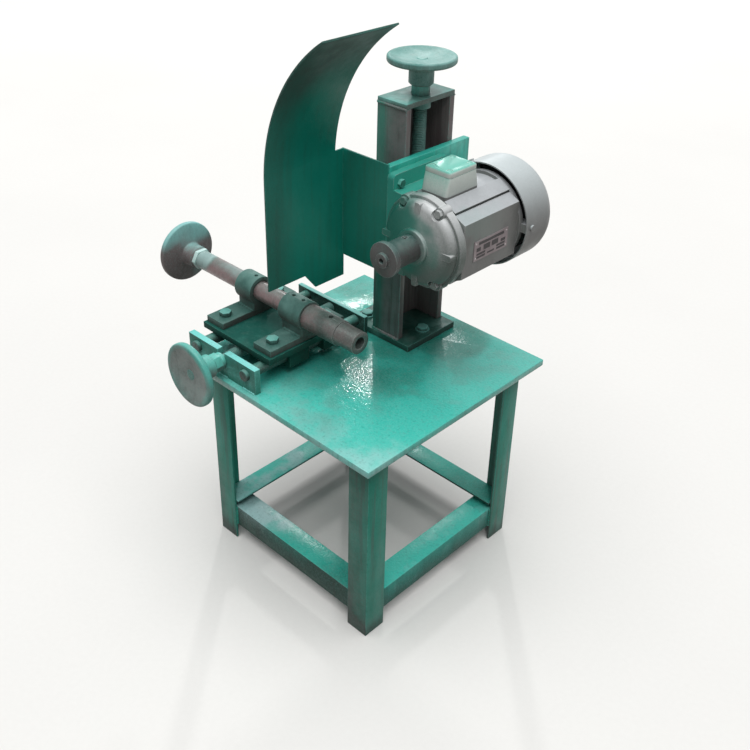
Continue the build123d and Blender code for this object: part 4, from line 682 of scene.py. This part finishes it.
# %% Modifiers for the solids
CORNER = math.radians(34)
TOUCHING = 0.00001


def crisp_shading():
    group = bpy.data.node_groups.new("crisp_shading", "GeometryNodeTree")
    group.interface.new_socket("Geometry", in_out="INPUT", socket_type="NodeSocketGeometry")
    group.interface.new_socket("Geometry", in_out="OUTPUT", socket_type="NodeSocketGeometry")
    source = put(group, "NodeGroupInput").outputs[0]
    angle = put(group, "GeometryNodeInputMeshEdgeAngle").outputs["Unsigned Angle"]
    sharp = put(group, "FunctionNodeCompare", {0: angle, 1: CORNER}, operation="GREATER_THAN")
    round_faces = put(group, "GeometryNodeSetShadeSmooth", {"Geometry": source}, domain="FACE")
    edges = {"Geometry": round_faces.outputs[0], "Selection": sharp.outputs[0], "Shade Smooth": False}
    corners = put(group, "GeometryNodeSetShadeSmooth", edges, domain="EDGE")
    put(group, "NodeGroupOutput", {0: corners.outputs[0]})
    return group


shading = crisp_shading()


def soften(node, width):
    weld = node.modifiers.new("weld", "WELD")
    weld.merge_threshold = TOUCHING
    if width:
        flat = node.modifiers.new("flat", "DECIMATE")
        flat.decimate_type = "DISSOLVE"
        flat.angle_limit = math.radians(0.4)
        rounding = node.modifiers.new("round", "BEVEL")
        rounding.width = width
        rounding.segments = 2
        rounding.limit_method = "ANGLE"
        rounding.angle_limit = math.radians(40)
        rounding.use_clamp_overlap = False
    node.modifiers.new("shading", "NODES").node_group = shading


print("modifiers ready, corners from", round(math.degrees(CORNER)), "degrees")

# %% [markdown]
# ## A finish for every solid
# Each solid gets its paint and the width of its Bevel. Width 0 leaves out Decimate and Bevel: knobs have
# roundings of their own, the motor's castings have small faces that a Bevel would fold over, and others
# are hidden. The two screws get no modifiers, because threaded ones take their place further down.

# %% Finish and width of each solid
REPLACED = ("elevating_screw", "feed_screw")
WIDE, SOFT, FINE, NONE = 0.0008, 0.0006, 0.0004, 0
DRESS = {
    "table": ("table_plate", WIDE),
    "leg": ("leg_front_left leg_front_right leg_rear_left leg_rear_right", WIDE),
    "stretcher": ("stretchers_front_rear", WIDE),
    "side_stretcher": ("stretchers_sides", WIDE),
    "base": ("column_base_plate", WIDE),
    "column": ("column_channel", WIDE),
    "cap": ("column_cap_plate", WIDE),
    "plate": ("slide_front_plate", WIDE),
    "rear_plate": ("slide_rear_plate", WIDE),
    "saddle": ("saddle_plate saddle_bushes feed_nut", SOFT),
    "pillow": ("pillow_left pillow_right", SOFT),
    "head": ("motor_plate", WIDE),
    "guard": ("spark_guard", FINE),
    "top_knob": ("elevating_knob", NONE),
    "feed_knob": ("feed_knob", NONE),
    "bar_knob": ("bar_knob", NONE),
    "nut": ("elevating_lock_nut feed_lock_nut feed_collar column_base_nuts", SOFT),
    "bar_nut": ("bar_lock_nut", SOFT),
    "bolt": ("column_base_bolts pillow_bolts", SOFT),
    "foot_bolt": ("motor_foot_bolts", NONE),
    "housing": ("motor_housing motor_rear_shield", NONE),
    "shield": ("motor_front_shield motor_tie_bolts", NONE),
    "cover": ("motor_fan_cover fan_cover_screws", NONE),
    "terminal": ("terminal_box terminal_box_lid terminal_box_screws", FINE),
    "hub": ("wheel_hub hub_set_screw", FINE),
    "bar": ("work_sleeve tool_socket work_spindle", FINE),
    "rod": ("guide_rod_left guide_rod_right feed_screw", FINE),
    "screw": (
        "elevating_screw elevating_thrust_collar slide_block slide_block_screws motor_shaft", NONE),
    "bronze": ("elevating_nut", NONE),
    "iron": ("stator_core motor_rotor", NONE),
    "copper": ("stator_windings", NONE),
    "bearing": ("motor_bearings", NONE),
    "fan": ("motor_fan", NONE),
    "plate_metal": ("name_plate", NONE),
}
dressed = set()
for finish, (names, width) in DRESS.items():
    for name in names.split():
        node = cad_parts[name]
        node.data.materials.clear()
        node.data.materials.append(paints[finish])
        if name not in REPLACED:
            soften(node, width)
        dressed.add(name)
print("dressed:", len(dressed), "left bare:", sorted(set(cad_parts) - dressed))

# %% [markdown]
# ## Making a new piece
# What follows is too small or too irregular for the solids: threads, weld beads, washers and the trim
# of the name plate. Each is a bmesh that becomes an object, rides on a body and takes its material.
# Merging doubles comes before the normals are worked out, since a seam left open can turn them over.

# %% Helpers for new pieces
SAME_POINT = 0.000002


def finish_piece(bm, name, body, finish, stands_for=()):
    bmesh.ops.remove_doubles(bm, verts=bm.verts, dist=SAME_POINT)
    bmesh.ops.recalc_face_normals(bm, faces=bm.faces)
    mesh = bpy.data.meshes.new(name)
    bm.to_mesh(mesh)
    bm.free()
    mesh.shade_smooth()
    mesh.set_sharp_from_angle(angle=CORNER)
    mesh.materials.append(paints[finish])
    piece = bpy.data.objects.new(name, mesh)
    scene.collection.objects.link(piece)
    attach(piece, body)
    if stands_for:
        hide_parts(*stands_for)
    print(name, "faces:", len(mesh.polygons), "on", body)


def place_new(bm, known, place):
    fresh = [vert for vert in bm.verts if vert not in known]
    bmesh.ops.transform(bm, matrix=place, verts=fresh)


def lathe(bm, outline, place, steps=40):
    known = set(bm.verts)
    rim = [bm.verts.new((radius, 0, height)) for radius, height in outline]
    wires = [bm.edges.new(pair) for pair in zip(rim, rim[1:])]
    bmesh.ops.spin(bm, geom=rim + wires, cent=(0, 0, 0), axis=(0, 0, 1), angle=math.tau,
                   steps=steps, use_merge=True)
    place_new(bm, known, place)


ALONG_Y = Matrix.Rotation(math.radians(-90), 4, "X")
print("piece helpers ready")

# %% [markdown]
# ## Screw threads
# A thread is one tooth's outline that turns and climbs at the same time: spin does both when it gets a
# step along the axis. One turn is spun, and doubling it a few times gives the length far faster than
# one long spin. The ends are cut flat with bisect_plane and closed. The pitch is 2 mm, as the joints
# say.

# %% One thread and one journal
PITCH = 0.002
TOOTH = [(1.0, 0.0), (0.0, 0.42), (0.0, 0.54), (1.0, 0.96), (1.0, 1.0)]


def thread(bm, radius, low, high, place, depth=0.0011, steps=24):
    known = set(bm.verts)
    tooth = [bm.verts.new((radius - depth * deep, 0, low + PITCH * (share - 1)))
             for deep, share in TOOTH]
    wires = [bm.edges.new(pair) for pair in zip(tooth, tooth[1:])]
    bmesh.ops.spin(bm, geom=tooth + wires, cent=(0, 0, 0), axis=(0, 0, 1), angle=math.tau,
                   dvec=(0, 0, PITCH / steps), steps=steps)
    turns = 1
    while turns * PITCH < high - low + 2 * PITCH:
        copy = bmesh.ops.duplicate(bm, geom=bm.verts[:] + bm.edges[:] + bm.faces[:])["geom"]
        copied = [part for part in copy if isinstance(part, bmesh.types.BMVert)]
        bmesh.ops.translate(bm, vec=(0, 0, turns * PITCH), verts=copied)
        turns *= 2
    bmesh.ops.remove_doubles(bm, verts=bm.verts, dist=SAME_POINT)
    for level, keep_above in ((low, True), (high, False)):
        everything = bm.verts[:] + bm.edges[:] + bm.faces[:]
        bmesh.ops.bisect_plane(bm, geom=everything, dist=SAME_POINT / 4, plane_co=(0, 0, level),
                               plane_no=(0, 0, 1), clear_inner=keep_above, clear_outer=not keep_above)
        rim = [edge for edge in bm.edges if edge.is_boundary
               and all(abs(vert.co.z - level) < TOUCHING for vert in edge.verts)]
        bmesh.ops.holes_fill(bm, edges=rim, sides=0)
    place_new(bm, known, place)


def journal(bm, radius, low, high, place, chamfer=0.0008):
    outline = [(0, low), (radius, low), (radius, high - chamfer), (radius - chamfer, high), (0, high)]
    lathe(bm, outline, place)


print("thread helpers ready, pitch", PITCH)

# %% [markdown]
# ## The elevating screw and the feed screw
# Both are threaded rods with a plain journal for the knob. The elevating screw is threaded up to its
# thrust collar, the feed screw between the two plates of the slide. Each replaces its smooth solid, so
# it takes its size and its place from that solid's box.

# %% The two screws
OVERLAP = 0.001
CLEAR = 0.0001
KNOB_JOURNAL, TAIL_JOURNAL = 0.006, 0.004
low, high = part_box("elevating_screw")
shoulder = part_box("elevating_thrust_collar")[0][2]
axis = Matrix.Translation(((low[0] + high[0]) / 2, (low[1] + high[1]) / 2, 0))
bm = bmesh.new()
thread(bm, (high[0] - low[0]) / 2, low[2], shoulder, axis)
journal(bm, KNOB_JOURNAL, shoulder - OVERLAP, high[2], axis)
finish_piece(bm, "elevating_screw_thread", "elevating_screw_body", "screw",
             ["elevating_screw"])

low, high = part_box("feed_screw")
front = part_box("slide_front_plate")[1][1] + CLEAR
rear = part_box("slide_rear_plate")[0][1] - CLEAR
axis = Matrix.Translation(((low[0] + high[0]) / 2, 0, (low[2] + high[2]) / 2)) @ ALONG_Y
bm = bmesh.new()
thread(bm, (high[0] - low[0]) / 2, front, rear, axis)
journal(bm, TAIL_JOURNAL, rear - OVERLAP, high[1], axis)
journal(bm, KNOB_JOURNAL, -front - OVERLAP, -low[1], axis @ Matrix.Rotation(math.pi, 4, "X"))
finish_piece(bm, "feed_screw_thread", "feed_screw_body", "screw", ["feed_screw"])

# %% [markdown]
# ## Weld beads
# The stand, the column and the collars are welded by hand, and the seams are lumpy. A bead is a ring
# that is extruded along its seam in short steps, swelling and shrinking a little each time like the
# ripples of a weld pool. Half of it sinks into the metal. A fixed seed keeps every run alike.

# %% One bead
lumps = random.Random(4)
LUMP = (0.9, 1.1)
RIPPLE = (1.0, 1.12, 0.98, 0.84)
TAPER, STEP = 0.55, 0.55
BEAD_SIDES = 10


def bead(bm, start, end, radius):
    start, run = Vector(start), Vector(end) - Vector(start)
    count = max(3, round(run.length / (STEP * radius)))
    turned = Matrix.Translation(start) @ run.to_track_quat("Z", "Y").to_matrix().to_4x4()
    size = radius * TAPER
    ring = bmesh.ops.create_circle(bm, cap_ends=False, radius=size, segments=BEAD_SIDES,
                                   matrix=turned)["verts"]
    edges = list({edge for vert in ring for edge in vert.link_edges})
    ends = list(edges)
    for step in range(1, count + 1):
        made = bmesh.ops.extrude_edge_only(bm, edges=edges)["geom"]
        ring = [part for part in made if isinstance(part, bmesh.types.BMVert)]
        edges = [part for part in made if isinstance(part, bmesh.types.BMEdge)
                 and all(vert in ring for vert in part.verts)]
        swell = TAPER if step == count else RIPPLE[step % len(RIPPLE)] * lumps.uniform(*LUMP)
        wish = radius * swell
        bmesh.ops.translate(bm, vec=run / count, verts=ring)
        middle = start + run * step / count
        bmesh.ops.scale(bm, vec=[wish / size] * 3, verts=ring, space=Matrix.Translation(-middle))
        size = wish
    bmesh.ops.holes_fill(bm, edges=ends + edges, sides=0)


print("bead helper ready, sides:", BEAD_SIDES)

# %% [markdown]
# ## Seams of the stand
# Two beads join each leg to the table, and others run where the stretchers meet the legs. The
# stretchers lie at two heights, and at the front left one laps over the other, so its seam is short.

# %% Beads on the stand
THICK_BEAD, SEAM_BEAD, SHELF_BEAD = 0.0022, 0.0019, 0.002
LEG_WALL, SHELF_GAP, OFF_CORNER = 0.003, 0.001, 0.995
LOW_SEAM, HIGH_SEAM, LAPPED_SEAM = (0.022, 0.05), (0.032, 0.06), (0.052, 0.06)
table_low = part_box("table_plate")[0]
bm = bmesh.new()
for name in ("leg_front_left", "leg_front_right", "leg_rear_left", "leg_rear_right"):
    low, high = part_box(name)
    x_out, y_out = (max(low[i], high[i], key=abs) for i in (0, 1))
    x_in, y_in = (min(low[i], high[i], key=abs) for i in (0, 1))
    top = table_low[2]
    bead(bm, (x_in, y_out, top), (x_out, y_out, top), THICK_BEAD)
    bead(bm, (x_out, y_out, top), (x_out, y_in, top), THICK_BEAD)
    wall_x, wall_y = (out - math.copysign(LEG_WALL, out) for out in (x_out, y_out))
    along_x = LOW_SEAM if y_out < 0 else HIGH_SEAM
    along_y = LOW_SEAM if x_out > 0 else LAPPED_SEAM if y_out < 0 else HIGH_SEAM
    bead(bm, (x_in, wall_y, along_x[0]), (x_in, wall_y, along_x[1]), SEAM_BEAD)
    bead(bm, (wall_x, y_in, along_y[0]), (wall_x, y_in, along_y[1]), SEAM_BEAD)
    shelf = along_x[1] + SHELF_GAP
    bead(bm, (wall_x, wall_y * OFF_CORNER, shelf), (wall_x, y_in, shelf), SHELF_BEAD)
finish_piece(bm, "stand_welds", "stand", "leg")

# %% [markdown]
# ## Seams of the column, the slide and the guard
# The channel is welded on three sides at its foot and under its cap. The slide's plates are tacked to
# the table, the collars are welded to their strips, and three tacks hold the guard to the motor plate.

# %% Beads on column, slide and guard
CAP_BEAD, TACK_BEAD, THIN_BEAD = 0.0015, 0.0018, 0.0016
bm = bmesh.new()
low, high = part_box("column_channel")
for level, radius in ((low[2], THICK_BEAD), (high[2], CAP_BEAD)):
    corners = [(high[0], low[1]), (low[0], low[1]), (low[0], high[1]), (high[0], high[1])]
    for start, end in zip(corners, corners[1:]):
        bead(bm, (*start, level), (*end, level), radius)
finish_piece(bm, "column_welds", "stand", "column")

TACK, TABLE_MARGIN = 0.01, 0.012
PLATE_TACKS = (0.1, 0.5, 0.9)
bm = bmesh.new()
for name in ("slide_front_plate", "slide_rear_plate"):
    low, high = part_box(name)
    for share in PLATE_TACKS:
        x = max(low[0] + share * (high[0] - low[0]), table_low[0] + TABLE_MARGIN)
        for y in (low[1], high[1]):
            bead(bm, (x - TACK, y, low[2]), (x + TACK, y, low[2]), THIN_BEAD)
finish_piece(bm, "slide_plate_welds", "stand", "plate")

STRIP, COLLAR_FOOT, INSET = 0.008, 0.0115, 0.003
bm = bmesh.new()
for name in ("pillow_left", "pillow_right"):
    low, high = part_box(name)
    middle = (low[1] + high[1]) / 2
    strip_top = low[2] + STRIP
    for y in (middle - COLLAR_FOOT, middle + COLLAR_FOOT):
        bead(bm, (low[0] + INSET, y, strip_top), (high[0] - INSET, y, strip_top), TACK_BEAD)
finish_piece(bm, "collar_welds", "saddle", "pillow")

PLATE_END, GUARD_TACK = 0.006, 0.011
GUARD_TACKS = (0.12, 0.5, 0.88)
bm = bmesh.new()
low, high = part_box("motor_plate")
for share in GUARD_TACKS:
    z = low[2] + PLATE_END + share * (high[2] - low[2] - 2 * PLATE_END)
    bead(bm, (low[0], low[1], z - GUARD_TACK), (low[0], low[1], z + GUARD_TACK), TACK_BEAD)
finish_piece(bm, "guard_welds", "motor_head", "guard")

# %% [markdown]
# ## Washers
# Flat washers lie under the bolts that hold the column to the table. The ring's cross-section is drawn
# once with its corners broken, and a spin round the axis closes it.

# %% Washers
BROKEN_EDGE = 0.18


def washer(bm, inner, outer, thick, place):
    edge = BROKEN_EDGE * thick
    top = [(outer, thick - edge), (outer - edge, thick), (inner, thick)]
    lathe(bm, [(inner, 0), (outer, 0), *top, (inner, 0)], place)


HOLE, RIM, THICK = 0.0042, 0.0088, 0.0014
BASE_BOLTS = [(0.011, 0.088), (-0.061, 0.065), (-0.061, 0.111)]
bm = bmesh.new()
base_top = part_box("column_base_plate")[1][2]
for x, y in BASE_BOLTS:
    washer(bm, HOLE, RIM, THICK, Matrix.Translation((x, y, base_top)))
finish_piece(bm, "base_washers", "stand", "bolt")

# %% [markdown]
# ## The name plate's trim
# The plate on the motor's flat side has a raised border and is held by four rivets. The border is a
# face that is inset and given thickness, and a rivet is half a dome's outline, spun round its axis.

# %% Border and rivets
low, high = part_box("name_plate")
width, height = high[1] - low[1], high[2] - low[2]
face = Matrix.Translation((high[0], (low[1] + high[1]) / 2, (low[2] + high[2]) / 2)) @ Matrix((
    (0, 0, 1, 0), (1, 0, 0, 0), (0, 1, 0, 0), (0, 0, 0, 1)))
BORDER, RAISED, RIVET_INSET = 0.0011, 0.0003, 0.003
bm = bmesh.new()
bmesh.ops.create_grid(bm, x_segments=1, y_segments=1, size=0.5)
bmesh.ops.scale(bm, vec=(width, height, 1), verts=bm.verts)
middle = bm.faces[:]
bmesh.ops.inset_region(bm, faces=middle, thickness=BORDER, use_even_offset=True)
bmesh.ops.delete(bm, geom=middle, context="FACES")
bmesh.ops.solidify(bm, geom=bm.faces[:], thickness=-RAISED)
bmesh.ops.transform(bm, matrix=face, verts=bm.verts)
DOME = [(0.0, 0.0006), (0.0006, 0.0005), (0.001, 0.0002), (0.0011, 0.0), (0.0, 0.0)]
for across in (-1, 1):
    for level in (-1, 1):
        corner = (across * (width / 2 - RIVET_INSET), level * (height / 2 - RIVET_INSET), 0)
        lathe(bm, DOME, face @ Matrix.Translation(corner), steps=16)
finish_piece(bm, "name_plate_trim", "motor_head", "plate_trim")

# %% [markdown]
# ## The name plate's fields
# Thin dark pads make the blank fields: a header, two blocks and short rows around them. Each pad is a
# cube that is flattened and has its edges bevelled.

# %% Blank fields
PAD_BEVEL = 0.3


def pad(bm, size, place, thick):
    known = set(bm.verts)
    bmesh.ops.create_cube(bm, size=1.0)
    fresh = [vert for vert in bm.verts if vert not in known]
    bmesh.ops.scale(bm, vec=(size[0], size[1], thick), verts=fresh)
    edges = list({edge for vert in fresh for edge in vert.link_edges})
    bmesh.ops.bevel(bm, geom=edges, offset=thick * PAD_BEVEL, affect="EDGES", segments=1, profile=0.5,
                    material=-1)
    place_new(bm, known, place)


FIELD_THICK, FIELD_LIFT = 0.0002, 0.00005
HEADER = [(0.0, 0.0076, 0.0425, 0.0034)]
BLOCKS = [(across, 0.0012, 0.011, 0.006) for across in (-0.0075, 0.0065)]
ROWS = [(across, level, 0.0145, 0.0025) for across in (-0.0168, 0.0168) for level in (-0.0045, -0.008)]
REST = [(0.0205, -0.0005, 0.008, 0.0035), (-0.021, 0.001, 0.007, 0.0045), (0.0, -0.0075, 0.012, 0.002)]
bm = bmesh.new()
for across, level, wide, tall in HEADER + BLOCKS + ROWS + REST:
    pad(bm, (wide, tall), face @ Matrix.Translation((across, level, FIELD_LIFT)), FIELD_THICK)
finish_piece(bm, "name_plate_fields", "motor_head", "plate_field")
